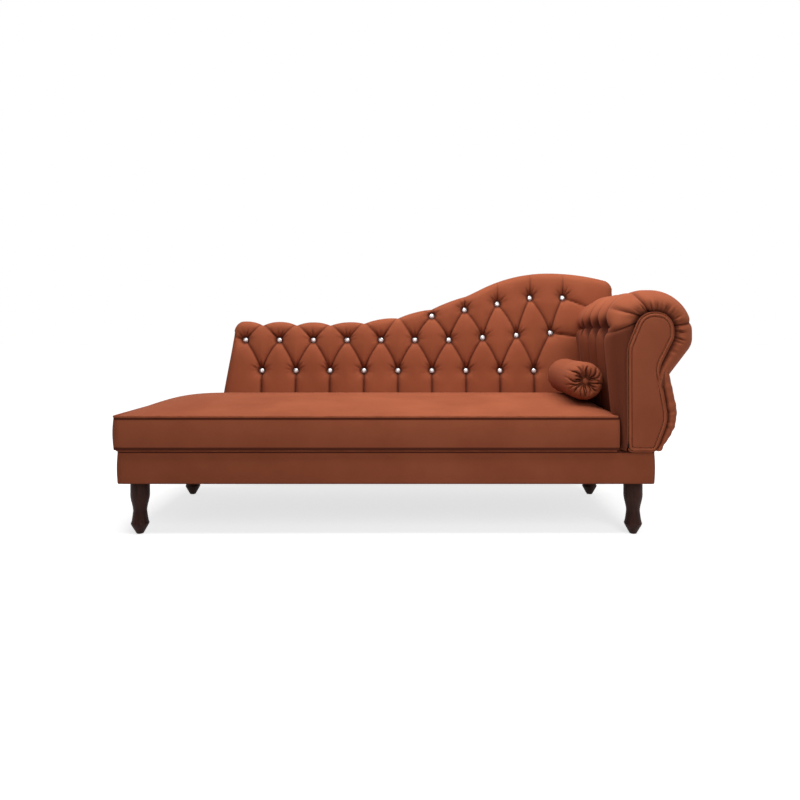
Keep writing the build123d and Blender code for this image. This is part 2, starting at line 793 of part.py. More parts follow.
def arm_plane(y):
    """The plane of an arm section at y, drawn as (x, z)."""
    return Plane(origin=(0, y, 0), x_dir=(1, 0, 0), z_dir=(0, -1, 0))


def arm_outline(share, out=0.0):
    """The arm outline from the facing (share 0) out to the roll (share 1)."""
    points, radii = [], []
    for inner, outer in zip(facing_corners, roll_corners):
        x, z, radius = [a + (b - a) * share for a, b in zip(inner, outer)]
        points.append((base_right + x, z))
        radii.append(radius)
    face = make_face(FilletPolyline(*points, radius=radii, close=True))
    return offset(face, out) if out else face


def arm_ring(y, share):
    """Points round the arm outline at y, with each round corner drawn as short straight steps."""
    points = []
    for edge in (arm_plane(y).location * arm_outline(share)).face().outer_wire().order_edges():
        steps = 1 if edge.geom_type == GeomType.LINE else arc_steps
        points += [edge @ (step / steps) for step in range(steps)]
    return points


def arm_form(stations):
    """Arm outlines at (y, share) stations, joined from front to rear."""
    return flat_sided(*[arm_ring(y, share) for y, share in stations])


def arm_bolt_places():
    """Bolts from the sill down into the right rail, as (x, y)."""
    x = rail_right - rail_thickness / 2
    first = front + arm_tuft_first
    return [(x, first + 1.5 * arm_tuft_pitch * i) for i in range(arm_bolt_count)]


def arm_bolt_holes():
    """Cutters for the bolts that hold the arm down."""
    low = base_top - rail_height * 0.6
    high = base_top + sill_height + 1
    radius = frame_bolt_radius + hole_gap
    return [bar((x, y, low), (x, y, high), radius, small_sides) for x, y in arm_bolt_places()]


def build_arm_frame():
    """Two shaped panels, the sill bolted to the right rail, and battens between the panels."""
    panel_face = arm_outline(0.0, -1.0)
    front_face = front + facing_thickness
    panel_back = front_face + arm_panel_thickness
    rear_panel_rear = base_rear - back_thickness - 2 * arm_panel_thickness
    rear_panel_front = rear_panel_rear - arm_panel_thickness
    above_base = block(-overall_length, overall_length, -overall_depth, overall_depth, 0, base_top)
    panel = extrude(arm_plane(panel_back).location * panel_face, amount=arm_panel_thickness)
    save("arm_front_panel", panel - above_base)
    panel = extrude(arm_plane(rear_panel_rear).location * panel_face, amount=arm_panel_thickness)
    save("arm_rear_panel", panel - above_base)

    sill_right = base_right + facing_corners[-1][0] - 4
    sill = block(sill_right - sill_width, sill_right, panel_back, rear_panel_front,
                 base_top, base_top + sill_height)
    save("arm_sill", sill - arm_bolt_holes())

    left = base_right + facing_corners[0][0] + 1.5
    head_x = base_right + facing_corners[3][0] - facing_corners[3][2]
    head_z = facing_corners[2][1] - facing_corners[2][2]
    head_top = facing_corners[2][1] - 2.0
    waist_z = facing_corners[5][1]
    belly_x = base_right + facing_corners[6][0] - 6.0
    belly_z = facing_corners[6][1]
    size = arm_batten
    spots = [
        (left, seat_edge),
        (left, waist_z),
        (head_x - size / 2, head_top - size),
        (base_right + facing_corners[4][0] - size - 2, head_z - size / 2),
        (base_right + facing_corners[5][0] - size, waist_z - size / 2),
        (belly_x - size, belly_z - size / 2),
    ]
    save("arm_battens", *[
        block(x, x + size, panel_back, rear_panel_front, z, z + size) for x, z in spots
    ])
    bolts = []
    for x, y in arm_bolt_places():
        low = base_top - rail_height * 0.6
        top = base_top + sill_height
        shank = bar((x, y, low), (x, y, top), frame_bolt_radius, small_sides)
        head = bar((x, y, top), (x, y, top + frame_bolt_head), frame_bolt_head_radius, small_sides)
        bolts.append(shank + head)
    save("arm_bolts", *bolts)


def roll_groove(y):
    """A V groove cutter at y over the roll, in straight steps from its inner side to past its top."""
    outer, inner = roll_radius + cut_past, roll_radius - arm_groove_depth
    flare = arm_groove_half_width * (1 + cut_past / arm_groove_depth)
    rings = []
    for step in range(arc_steps + 1):
        turn = radians(arm_roll_groove_turn) * step / arc_steps
        out = Vector(-cos(turn), 0, sin(turn))
        centre = Vector(roll_centre_x, y, roll_centre_z)
        rings.append([
            centre + out * outer - Vector(0, flare, 0),
            centre + out * outer + Vector(0, flare, 0),
            centre + out * inner,
        ])
    return flat_sided(*rings)


def build_arm_upholstery():
    """Foam and tufted cover round the arm frame, the belly, the facing and its welt."""
    rear_end = base_rear - back_thickness / 3
    core = extrude(
        arm_plane(rear_end + 1).location * (
            arm_outline(0.0, soft_gap)
            + Pos(base_right + facing_corners[0][0] / 2, arm_foot_height) * Rectangle(80, 40)
        ),
        amount=rear_end + 1 - front + cut_past,
    )
    waist_in = (base_right + facing_corners[5][0], facing_corners[5][1])
    waist_out = (base_right + roll_corners[5][0], roll_corners[5][1])
    tilt = atan2(waist_out[1] - waist_in[1], waist_out[0] - waist_in[0])
    slot_face = Pos(*waist_out) * Rot(0, 0, degrees(tilt)) * Rectangle(240, 2 * soft_gap)
    slot = extrude(arm_plane(rear_end + 1).location * slot_face, amount=rear_end + 1 - front + cut_past)
    back_side = behind_back(soft_gap)
    base_side = block(-overall_length, overall_length, -overall_depth, overall_depth, 0, seat_bottom)
    share = arm_foam_share
    foam_rise = [(front + 24, 0.15), (front + 40, 0.42), (front + 72, share), (rear_end, share)]
    foam_form = arm_form(foam_rise)
    foam = foam_form - core - slot - back_side - base_side
    belly_foam, roll_foam = sorted(foam.solids(), key=lambda s: s.center().Z)
    save("arm_roll_foam", roll_foam)
    save("arm_belly_foam", belly_foam)

    room_rise = [(y - soft_gap, s + 0.02) for y, s in foam_rise]
    room = arm_form(room_rise)
    full = [(front + 9, 0.1), (front + 14, 0.36), (front + 30, 0.74), (front + 66, 1.0), (rear_end, 1.0)]
    cover = arm_form(full) - room - core - slot - back_side - base_side
    belly, roll = sorted(cover.solids(), key=lambda s: s.center().Z)
    save("arm_belly_cover", belly)

    low, high = roll_corners[0], roll_corners[1]
    inner_low = Vector(base_right + low[0], 0, low[1])
    inner_bend = Vector(base_right + high[0], 0, high[1])
    lean = inner_bend - inner_low
    face_out = Vector(-lean.Z, 0, lean.X).normalized()
    left_edge = roll_corners[2]
    upper = Vector(base_right + left_edge[0], 0, left_edge[1]) - inner_bend
    groove_top = inner_bend + upper * ((roll_centre_z - high[1]) / (left_edge[1] - high[1]))
    upper_out = Vector(-upper.Z, 0, upper.X).normalized()
    radial = Vector(-sqrt(roll_radius**2 - arm_tuft_rise**2), 0, arm_tuft_rise)
    outward = radial.normalized()
    centre = Vector(roll_centre_x, 0, roll_centre_z)
    surface = centre + radial
    wide = arm_groove_half_width
    cutters, buttons = [], []
    for index in range(arm_tuft_count):
        y = front + arm_tuft_first + arm_tuft_pitch * index
        along = Vector(0, y, 0)
        cutters.append(groove(inner_low + along, inner_bend + along, face_out, wide, arm_groove_depth))
        cutters.append(groove(inner_bend + along, groove_top + along, upper_out, wide, arm_groove_depth))
        cutters.append(roll_groove(y))
        place = Plane(origin=surface + along, z_dir=outward)
        cutters.append(stack(
            place, button_sides,
            (dimple_radius * 1.6, cut_past), (arm_button_radius + hole_gap, -dimple_depth),
        ))
        bed = place.offset(-dimple_depth)
        buttons.append(covered_button(bed, arm_button_radius, arm_button_dome))
    for cutter in cutters:
        roll = roll - cutter
    save("arm_roll_cover", roll)
    save("arm_tuft_buttons", *buttons)

    welt = facing_welt_radius
    plate = arm_outline(0.0, -2 * welt - soft_gap)
    brow = arm_outline(0.0, -2 * welt - soft_gap - facing_edge)
    levels = ((facing_thickness, plate), (facing_edge, plate), (0.0, brow))
    facing = loft([arm_plane(front + y).location * face for y, face in levels], ruled=True)
    save("arm_facing", facing)
    ring = arm_plane(front + facing_thickness - welt).location * arm_outline(0.0, -welt)
    path = Wire([edge for edge in ring.edges() if edge.length > hole_gap])
    start = Plane(origin=path @ 0, z_dir=path % 0)
    save("arm_facing_welt", sweep(start.location * RegularPolygon(welt, small_sides), path))


def build_bolster():
    """A round bolster on the crown of the seat: core, gathered cover and end buttons."""
    reach = range(-40, 41)
    contact = max(ruled_crown_at(bolster_x + d) + sqrt(bolster_radius**2 - d**2) for d in reach)
    axis_z = seat_edge + contact + soft_gap
    radius, length, rounding = bolster_radius, bolster_length, bolster_end_round
    place = Plane(origin=(bolster_x, bolster_start, axis_z), x_dir=(1, 0, 0), z_dir=(0, 1, 0))
    button = bolster_button_radius
    dimple = bolster_dimple_depth
    brow = radius - rounding
    bend = rounding * (1 - sqrt(0.5))

    def end_points(base, sign):
        """The half outline of one end, from the button out to the side."""
        return [
            (button + hole_gap, base + sign * dimple),
            ((button + brow) / 2, base + sign * dimple * 0.3),
            (brow, base),
            (radius - bend, base + sign * bend),
            (radius, base + sign * rounding),
        ]

    outline = [*end_points(0.0, 1), *reversed(end_points(length, -1))]
    outer = stack(Plane.XY, bolster_sides, *outline)
    core_radius = radius - bolster_cover_thickness
    hollow = bar((0, 0, rounding), (0, 0, length - rounding), core_radius)
    core = bar((0, 0, rounding + soft_gap), (0, 0, length - rounding - soft_gap), core_radius - soft_gap)
    cover = outer - hollow
    cutters = []
    for base, sign in ((0.0, 1), (length, -1)):
        for index in range(bolster_gather_count):
            angle = 2 * pi * index / bolster_gather_count
            out = Vector(cos(angle), sin(angle), 0)
            inner_end = out * (button + 4) + Vector(0, 0, base + sign * dimple * 0.7)
            outer_end = out * (brow + rounding * 0.5) + Vector(0, 0, base)
            cutters.append(groove(
                inner_end, outer_end, (0, 0, -sign),
                bolster_gather_half_width, bolster_gather_depth, (0.6, 1.0, 0.8),
            ))
    gathered = cover.cut(*[s for c in cutters for s in c.solids()])
    near_cap = covered_button(Plane(origin=(0, 0, dimple), z_dir=(0, 0, -1)), button, bolster_button_dome)
    far_cap = covered_button(Plane(origin=(0, 0, length - dimple)), button, bolster_button_dome)
    save("bolster_core", place.location * core)
    save("bolster_cover", place.location * gathered)
    save("bolster_buttons", place.location * near_cap, place.location * far_cap)


os.makedirs("parts", exist_ok=True)
build_legs()
build_base()
build_seat()
build_back_frame()
build_back_upholstery()
build_arm_frame()
build_arm_upholstery()
build_bolster()
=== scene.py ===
"""Recamier: cloth, padding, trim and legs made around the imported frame, in metres."""

import json
import logging
import math
from dataclasses import dataclass, field
from enum import Enum

import bmesh
import bpy
import numpy as np
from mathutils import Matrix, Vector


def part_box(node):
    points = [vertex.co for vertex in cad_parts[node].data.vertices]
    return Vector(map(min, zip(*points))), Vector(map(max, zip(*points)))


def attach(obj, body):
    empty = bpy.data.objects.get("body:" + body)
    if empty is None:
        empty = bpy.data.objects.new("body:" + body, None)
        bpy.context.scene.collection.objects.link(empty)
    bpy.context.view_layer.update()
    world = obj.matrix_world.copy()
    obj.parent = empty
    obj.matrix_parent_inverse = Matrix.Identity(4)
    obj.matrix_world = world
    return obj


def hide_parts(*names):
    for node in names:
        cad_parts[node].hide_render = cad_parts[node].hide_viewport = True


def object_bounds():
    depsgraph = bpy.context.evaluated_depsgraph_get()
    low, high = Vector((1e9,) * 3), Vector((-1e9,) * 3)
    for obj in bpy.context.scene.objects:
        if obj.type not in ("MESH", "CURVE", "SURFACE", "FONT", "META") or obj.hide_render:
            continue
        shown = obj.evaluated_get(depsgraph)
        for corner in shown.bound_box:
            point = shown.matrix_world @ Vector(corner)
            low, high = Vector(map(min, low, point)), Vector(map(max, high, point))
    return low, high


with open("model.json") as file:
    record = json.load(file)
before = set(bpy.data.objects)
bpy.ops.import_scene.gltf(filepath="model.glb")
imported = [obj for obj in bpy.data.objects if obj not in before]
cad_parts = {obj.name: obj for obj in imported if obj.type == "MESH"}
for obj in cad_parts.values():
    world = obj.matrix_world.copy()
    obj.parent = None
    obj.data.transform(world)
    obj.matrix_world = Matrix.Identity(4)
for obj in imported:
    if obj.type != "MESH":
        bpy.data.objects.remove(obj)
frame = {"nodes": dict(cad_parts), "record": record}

LOG = logging.getLogger("recamier")
CAD_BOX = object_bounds()
SEED = 7
PHASE = 6.28

Colour = tuple[float, float, float, float]
Corner = tuple[float, float, float]
Pair = tuple[float, float]
Face = tuple[int, ...]
Piece = bpy.types.Object
Socket = bpy.types.NodeSocket


class Body(str, Enum):
    """The bodies that pieces ride on."""

    SOFA = "sofa"
    BOLSTER = "bolster"


class Slot(str, Enum):
    """Material slots of the record."""

    CLOTH = "cover_cloth"
    PIPING = "piping_cloth"
    FOAM = "foam"
    FRAME = "frame_wood"
    LEG = "leg_wood"
    STEEL = "steel"
    BUTTON = "button_metal"
    CRYSTAL = "crystal"
    CORD = "tuft_cord"
    WEBBING = "webbing"
    DUST = "dust_cloth"


# Materials


class Wiring:
    """Adds nodes to a tree and wires them up."""

    def __init__(self, tree: bpy.types.NodeTree) -> None:
        """Take an empty tree."""
        self.tree = tree

    def put(self, socket: Socket, value: object) -> None:
        """Link a socket to an output, or set it to a constant.

        Args:
            socket: The input.
            value: A constant or another node's output.
        """
        if isinstance(value, Socket):
            self.tree.links.new(value, socket)
        else:
            socket.default_value = value

    def add(self, kind: str, options: dict[str, str] | None = None, **values: object) -> bpy.types.Node:
        """Add a node and set or link its inputs, with underscores for spaces.

        Args:
            kind: The node's type name.
            options: Settings of the node itself.
            values: Input name to a constant or to another node's output.

        Returns:
            The new node.
        """
        node = self.tree.nodes.new(kind)
        for key, choice in (options or {}).items():
            setattr(node, key, choice)
        for key, value in values.items():
            self.put(node.inputs[key.replace("_", " ")], value)
        return node

    def in_sight(self) -> Socket:
        """Whether a ray shows the background, straight, in a mirror or through glass.

        Returns:
            An output that is 1 for such a ray.
        """
        path = self.add("ShaderNodeLightPath").outputs
        seen = path["Is Camera Ray"]
        for ray in ("Is Glossy Ray", "Is Transmission Ray"):
            either = self.add("ShaderNodeMath", {"operation": "MAXIMUM"})
            self.put(either.inputs[0], seen)
            self.put(either.inputs[1], path[ray])
            seen = either.outputs["Value"]
        return seen


class NodeSheet(Wiring):
    """The node tree of one material."""

    def __init__(self, name: str) -> None:
        """Start an empty tree.

        Args:
            name: The material's name.
        """
        self.material = bpy.data.materials.new(name)
        self.material.use_nodes = True
        super().__init__(self.material.node_tree)
        self.tree.nodes.clear()
        self.place = self.add("ShaderNodeTexCoord").outputs["Object"]

    def noise(self, size: float, detail: float = 2.0, stretch: Corner = (1.0, 1.0, 1.0)) -> Socket:
        """A noise pattern on the object's own coordinates.

        Args:
            size: Size of one blotch in metres.
            detail: Octaves of finer noise.
            stretch: Scale on each axis before the noise.

        Returns:
            The noise's value output.
        """
        where = self.add("ShaderNodeMapping", Vector=self.place, Scale=stretch).outputs["Vector"]
        node = self.add("ShaderNodeTexNoise", Vector=where, Scale=1.0 / size, Detail=detail, Roughness=0.55)
        return node.outputs["Fac"]

    def ramp(self, factor: Socket, low: Colour, high: Colour, ends: Pair = (0.3, 0.7)) -> Socket:
        """Turn a value into a colour between two colours.

        Args:
            factor: The value.
            low: Colour at the lower end.
            high: Colour at the upper end.
            ends: Values at which the two colours are reached.

        Returns:
            The colour output.
        """
        node = self.add("ShaderNodeValToRGB", Fac=factor)
        for element, shade, position in zip(node.color_ramp.elements, (low, high), ends):
            element.color = shade
            element.position = position
        return node.outputs["Color"]

    def mix(self, factor: Socket, first: object, second: object) -> Socket:
        """Mix two colours.

        Args:
            factor: Share of the second colour.
            first: Colour or colour output.
            second: Colour or colour output.

        Returns:
            The mixed colour output.
        """
        node = self.add("ShaderNodeMix", {"data_type": "RGBA"}, Factor=factor)
        self.put(node.inputs[6], first)
        self.put(node.inputs[7], second)
        return node.outputs[2]

    def bump(self, height: Socket, strength: float, distance: float) -> Socket:
        """A normal from a height, with the share of the effect and its depth in metres."""
        return self.add("ShaderNodeBump", Height=height, Strength=strength, Distance=distance).outputs["Normal"]

    def shade(self, **values: object) -> bpy.types.Material:
        """Close the tree with a principled shader.

        Args:
            values: Inputs of the shader.

        Returns:
            The finished material.
        """
        shader = self.add("ShaderNodeBsdfPrincipled", **values)
        self.add("ShaderNodeOutputMaterial", Surface=shader.outputs["BSDF"])
        return self.material


@dataclass(frozen=True)
class Finish:
    """A finish, with the two colours that its pattern runs between."""

    name: str
    light: Colour
    dark: Colour

    def material(self) -> bpy.types.Material:
        """The finish as a material, which each kind makes in its own way."""
        raise NotImplementedError


@dataclass(frozen=True)
class SuedeCloth(Finish):
    """Short-pile suede cloth with clouded pile, darkened towards a fold colour by painted shade in folds, seams and
    shaded places.
    """

    # fold is the dark colour of the painted shade in folds, seams and shaded places
    fold: Colour
    nap_and_painted_shade: float = 0.19
    pile: float = 0.0013

    def material(self) -> bpy.types.Material:
        """The cloth's material.

        Returns:
            The material, which darkens towards the fold colour as painted shade where the piece's painted shade
            attribute is high.
        """
        sheet = NodeSheet(self.name)
        nap_and_painted_shade = sheet.noise(self.nap_and_painted_shade, 4.0, (1.0, 1.4, 0.8))
        fibres = sheet.noise(self.pile, 2.0)
        clouded = sheet.ramp(nap_and_painted_shade, self.dark, self.light, (0.34, 0.66))
        flecked = sheet.mix(sheet.ramp(fibres, grey(0.0), grey(0.22)), clouded, self.light)
        # Painted shade: a vertex attribute mixes the cloth towards the fold colour
        painted_shade = sheet.add("ShaderNodeAttribute", {"attribute_name": "painted_shade"}).outputs["Fac"]
        return sheet.shade(
            Base_Color=sheet.mix(painted_shade, flecked, self.fold),
            Roughness=0.86,
            Specular_IOR_Level=0.1,
            Sheen_Weight=0.04,
            Sheen_Roughness=0.5,
            Sheen_Tint=colour(1.0, 0.66, 0.5),
            Normal=sheet.bump(fibres, 0.35, 0.0005),
        )


@dataclass(frozen=True)
class Timber(Finish):
    """Wood with grain along one axis."""

    grain: Corner
    roughness: float
    coat: float = 0.0

    def material(self) -> bpy.types.Material:
        """The wood's material.

        Returns:
            The material.
        """
        sheet = NodeSheet(self.name)
        rings = sheet.noise(0.03, 5.0, self.grain)
        pores = sheet.noise(0.004, 3.0, self.grain)
        figured = sheet.ramp(rings, self.dark, self.light, (0.32, 0.68))
        return sheet.shade(
            Base_Color=sheet.mix(sheet.ramp(pores, grey(0.45), grey(0.0), (0.3, 0.5)), figured, self.dark),
            Roughness=self.roughness,
            Specular_IOR_Level=0.1,
            Coat_Weight=self.coat,
            Coat_Roughness=0.22,
            Normal=sheet.bump(pores, 0.15, 0.0003),
        )


@dataclass(frozen=True)
class Metal(Finish):
    """Polished or plated metal with fine scratches."""

    roughness: float

    def material(self) -> bpy.types.Material:
        """The metal's material.

        Returns:
            The material.
        """
        sheet = NodeSheet(self.name)
        wear = sheet.noise(0.012, 4.0)
        scratches = sheet.noise(0.0012, 2.0, (1.0, 8.0, 1.0))
        return sheet.shade(
            Base_Color=sheet.ramp(wear, self.dark, self.light),
            Metallic=1.0,
            Roughness=self.roughness,
            Normal=sheet.bump(scratches, 0.04, 0.0002),
        )


@dataclass(frozen=True)
class CutGlass(Finish):
    """Foil-backed cut glass, bright from every side."""

    def material(self) -> bpy.types.Material:
        """The glass's material.

        Returns:
            The material.
        """
        sheet = NodeSheet(self.name)
        sparkle = sheet.noise(0.004, 1.0)
        return sheet.shade(
            Base_Color=sheet.ramp(sparkle, self.dark, self.light, (0.35, 0.6)),
            Metallic=0.4,
            Roughness=0.18,
            IOR=1.6,
            Coat_Weight=1.0,
            Coat_Roughness=0.02,
        )


@dataclass(frozen=True)
class PlainCloth(Finish):
    """Woven or open-cell stuff that is mostly out of sight."""

    weave: float

    def material(self) -> bpy.types.Material:
        """The stuff's material.

        Returns:
            The material.
        """
        sheet = NodeSheet(self.name)
        threads = sheet.noise(self.weave, 2.0, (1.0, 3.0, 1.0))
        return sheet.shade(
            Base_Color=sheet.ramp(threads, self.dark, self.light),
            Roughness=0.92,
            Specular_IOR_Level=0.2,
            Normal=sheet.bump(threads, 0.4, 0.0006),
        )


def colour(red: float, green: float, blue: float) -> Colour:
    """An opaque colour in linear light."""
    return (red, green, blue, 1.0)


def grey(level: float) -> Colour:
    """An opaque grey in linear light."""
    return colour(level, level, level)


# Dark red painted shade that the cloth takes in folds, seams and shaded places
PAINTED_FOLD_SHADE = colour(0.048, 0.008, 0.004)
FINISHES: dict[Slot, Finish] = {
    Slot.CLOTH: SuedeCloth(
        "terracotta_suede", colour(0.30, 0.080, 0.036), colour(0.245, 0.062, 0.027), PAINTED_FOLD_SHADE
    ),
    Slot.PIPING: SuedeCloth(
        "terracotta_piping", colour(0.28, 0.075, 0.034), colour(0.23, 0.058, 0.026), PAINTED_FOLD_SHADE, nap_and_painted_shade=0.05
    ),
    Slot.FOAM: PlainCloth("cream_foam", colour(0.83, 0.76, 0.56), colour(0.7, 0.62, 0.43), 0.003),
    Slot.FRAME: Timber(
        "bare_softwood", colour(0.62, 0.43, 0.24), colour(0.45, 0.29, 0.15), (0.6, 4.0, 4.0), 0.7
    ),
    Slot.LEG: Timber(
        "stained_leg_wood", colour(0.044, 0.014, 0.009), colour(0.018, 0.006, 0.004), (4.0, 4.0, 0.6), 0.5, 0.02
    ),
    Slot.STEEL: Metal("plated_steel", colour(0.62, 0.62, 0.63), colour(0.42, 0.42, 0.43), 0.35),
    Slot.BUTTON: Metal("button_metal", colour(0.20, 0.17, 0.17), colour(0.09, 0.07, 0.07), 0.22),
    Slot.CRYSTAL: CutGlass("cut_crystal", colour(0.97, 0.96, 0.97), colour(0.62, 0.58, 0.6)),
    Slot.CORD: PlainCloth("tuft_twine", colour(0.66, 0.61, 0.52), colour(0.45, 0.4, 0.33), 0.001),
    Slot.WEBBING: PlainCloth("elastic_webbing", colour(0.3, 0.25, 0.19), colour(0.16, 0.13, 0.1), 0.002),
    Slot.DUST: PlainCloth("dust_cloth", colour(0.03, 0.03, 0.031), colour(0.012, 0.012, 0.013), 0.0015),
}
MATERIALS: dict[Slot, bpy.types.Material] = {slot: finish.material() for slot, finish in FINISHES.items()}


# Lines and curves


def ease(value: np.ndarray | float) -> np.ndarray:
    """A smooth step from 0 to 1."""
    share = np.clip(value, 0.0, 1.0)
    return share * share * (3.0 - 2.0 * share)


def bell(distance: np.ndarray, width: float, power: float = 2.0) -> np.ndarray:
    """A smooth bump of height 1 that fades with the distance."""
    return np.exp(-((distance / width) ** power))


def at_height(path: np.ndarray, z: float) -> np.ndarray:
    """A flat (x, y) path at one height."""
    return np.column_stack([path, np.full(len(path), z)])


def upright(path: np.ndarray, y: float) -> np.ndarray:
    """An upright (x, z) path at one place across."""
    return np.column_stack([path[:, 0], np.full(len(path), y), path[:, 1]])


def distances(path: np.ndarray) -> np.ndarray:
    """Distance along a path of each of its points."""
    return np.concatenate([[0.0], np.cumsum(np.linalg.norm(np.diff(path, axis=0), axis=1))])


def even_ring(ring: np.ndarray, count: int) -> np.ndarray:
    """A closed ring with its points spaced evenly.

    Args:
        ring: Points around.
        count: Number of points wanted.

    Returns:
        The new ring.
    """
    closed = np.vstack([ring, ring[:1]])
    reach = distances(closed)
    at = np.linspace(0.0, reach[-1], count, endpoint=False)
    return np.column_stack([np.interp(at, reach, closed[:, k]) for k in range(2)])


def near_line(
    points: np.ndarray, start: np.ndarray, end: np.ndarray, bow: float
) -> tuple[np.ndarray, np.ndarray]:
    """Distance of flat points from a line between two points, and how far along it they are.

    Args:
        points: Points, one row each.
        start: The line's first end.
        end: The line's other end.
        bow: How far the line's middle is bent upwards.

    Returns:
        Distances, and shares of the way from start to end.
    """
    run = end - start
    along = np.clip((points - start) @ run / (run @ run), 0.0, 1.0)
    upward = np.array([-run[1], run[0]]) * np.sign(run[0] + 1e-12) / np.linalg.norm(run)
    line = start + along[:, None] * run + np.outer(4 * bow * along * (1 - along), upward)
    return np.linalg.norm(points - line, axis=1), along


def rounded(corners: list[Corner], arc_points: int, side_points: int) -> np.ndarray:
    """An open run of straight lines with rounded corners, the two ends kept sharp.

    Args:
        corners: Corner places and their roundings.
        arc_points: Points on each arc.
        side_points: Points inside each straight line.

    Returns:
        Points along the run, the same number for any sizes.
    """
    spots = [np.array(c[:2]) for c in corners]
    sides = [following - here for here, following in zip(spots, spots[1:])]
    lengths = [float(np.linalg.norm(side)) for side in sides]
    halves = [
        math.acos(np.clip(-(a @ b) / (m * n), -1, 1)) / 2
        for a, b, m, n in zip(sides, sides[1:], lengths, lengths[1:])
    ]
    cuts = [0.0, *[c[2] / math.tan(half) for c, half in zip(corners[1:], halves)], 0.0]
    room = [min(1.0, 0.98 * length / max(a + b, 1e-9)) for length, a, b in zip(lengths, cuts, cuts[1:])]
    shares = np.linspace(0.0, 1.0, arc_points)
    stops = [[spots[0]]]
    for k, half in enumerate(halves):
        cut = cuts[k + 1] * min(room[k], room[k + 1])
        size = cut * math.tan(half)
        corner, to_before, to_after = spots[k + 1], -sides[k] / lengths[k], sides[k + 1] / lengths[k + 1]
        middle = (to_before + to_after) / np.linalg.norm(to_before + to_after)
        centre = corner + middle * size / math.sin(half)
        first, last = corner + to_before * cut - centre, corner + to_after * cut - centre
        sweep = math.pi - 2 * half
        stops.append([
            centre + (math.sin((1 - s) * sweep) * first + math.sin(s * sweep) * last) / math.sin(sweep)
            for s in shares
        ])
    stops.append([spots[-1]])
    run = []
    for here, following in zip(stops, stops[1:]):
        run.extend(here)
        gap = following[0] - here[-1]
        run.extend(here[-1] + gap * k / (side_points + 1) for k in range(1, side_points + 1))
    run.extend(stops[-1])
    return np.array(run)


# Mesh tools


def add_object(name: str, data: bpy.types.ID) -> Piece:
    """Put a new object into the scene, at the origin.

    Args:
        name: The object's name.
        data: Its mesh, lamp or camera.

    Returns:
        The object.
    """
    piece = bpy.data.objects.new(name, data)
    bpy.context.scene.collection.objects.link(piece)
    return piece


def make_piece(name: str, points: np.ndarray, faces: list[Face]) -> Piece:
    """Make a smooth mesh object at the origin.

    Args:
        name: The piece's name.
        points: Vertex places, one row each.
        faces: Vertex numbers of each face.

    Returns:
        The new object.
    """
    mesh = bpy.data.meshes.new(name)
    mesh.from_pydata(np.asarray(points, float).tolist(), [], faces)
    mesh.validate()
    mesh.shade_smooth()
    return add_object(name, mesh)


def grid_faces(rows: int, columns: int, wrap: bool = False) -> list[Face]:
    """Quads of a grid whose points run along the columns, row after row.

    Args:
        rows: Number of point rows.
        columns: Number of points in a row.
        wrap: Join each row's last point to its first.

    Returns:
        The quads.
    """
    faces = []
    for row in range(rows - 1):
        low, high = row * columns, (row + 1) * columns
        for column in range(columns if wrap else columns - 1):
            after = (column + 1) % columns
            faces.append((low + column, low + after, high + after, high + column))
    return faces


def band_faces(first: np.ndarray, second: np.ndarray, closed: bool = False) -> list[Face]:
    """Quads between two rows of vertex numbers.

    Args:
        first: Numbers in the one row.
        second: Numbers in the other row.
        closed: Join the rows' ends.

    Returns:
        The quads.
    """
    count = len(first)
    steps = [(k, (k + 1) % count) for k in range(count if closed else count - 1)]
    return [(first[k], second[k], second[n], first[n]) for k, n in steps]


def outward(piece: Piece) -> None:
    """Merge doubles and turn all faces of a closed piece outwards.

    Args:
        piece: The piece, whose mesh is changed.
    """
    work = bmesh.new()
    work.from_mesh(piece.data)
    bmesh.ops.remove_doubles(work, verts=work.verts, dist=1e-5)
    bmesh.ops.recalc_face_normals(work, faces=work.faces)
    work.to_mesh(piece.data)
    work.free()


def closed_rings(name: str, rings: np.ndarray, creases: np.ndarray | None = None) -> Piece:
    """Make a closed piece from rings of points, with a face over each end.

    Args:
        name: The piece's name.
        rings: Points as rings by places around by axis.
        creases: How deep in a fold each point lies, for the painted shade there, where the piece has folds.

    Returns:
        The piece.
    """
    rows, columns = rings.shape[:2]
    faces = grid_faces(rows, columns, wrap=True)
    faces += [tuple(range(columns)), tuple(reversed(range((rows - 1) * columns, rows * columns)))]
    piece = make_piece(name, rings.reshape(-1, 3), faces)
    if creases is not None:
        mark_painted_shade(piece, creases.ravel())
    outward(piece)
    return piece


def lathe(name: str, profile: list[Pair], sides: int) -> Piece:
    """A turned shape about Z, closed at both ends.

    Args:
        name: The piece's name.
        profile: Radius and height from the bottom to the top.
        sides: Points around.

    Returns:
        The new object.
    """
    turn = np.linspace(0.0, 2 * math.pi, sides, endpoint=False)
    rings = [np.column_stack([r * np.cos(turn), r * np.sin(turn), np.full(sides, h)]) for r, h in profile]
    return closed_rings(name, np.stack(rings))


def places(piece: Piece) -> np.ndarray:
    """A piece's vertex places as an array.

    Args:
        piece: The piece.

    Returns:
        The places, one row each.
    """
    flat = np.empty(len(piece.data.vertices) * 3)
    piece.data.vertices.foreach_get("co", flat)
    return flat.reshape(-1, 3)


def set_places(piece: Piece, points: np.ndarray) -> None:
    """Move a piece's vertices."""
    piece.data.vertices.foreach_set("co", np.asarray(points, float).ravel())
    piece.data.update()


def mark_painted_shade(piece: Piece, share: np.ndarray) -> None:
    """Store how deep in a fold or shaded place each vertex lies, by which the cloth is darkened as painted shade."""
    layer = piece.data.attributes.new("painted_shade", "FLOAT", "POINT")
    layer.data.foreach_set("value", np.clip(share, 0.0, 1.0).astype(np.float32))


def flatten(piece: Piece) -> None:
    """Turn a piece's modifiers into a plain mesh.

    Args:
        piece: The piece, which loses its modifiers.
    """
    bpy.context.view_layer.update()
    evaluated = piece.evaluated_get(bpy.context.evaluated_depsgraph_get())
    mesh = bpy.data.meshes.new_from_object(evaluated)
    piece.modifiers.clear()
    piece.data = mesh


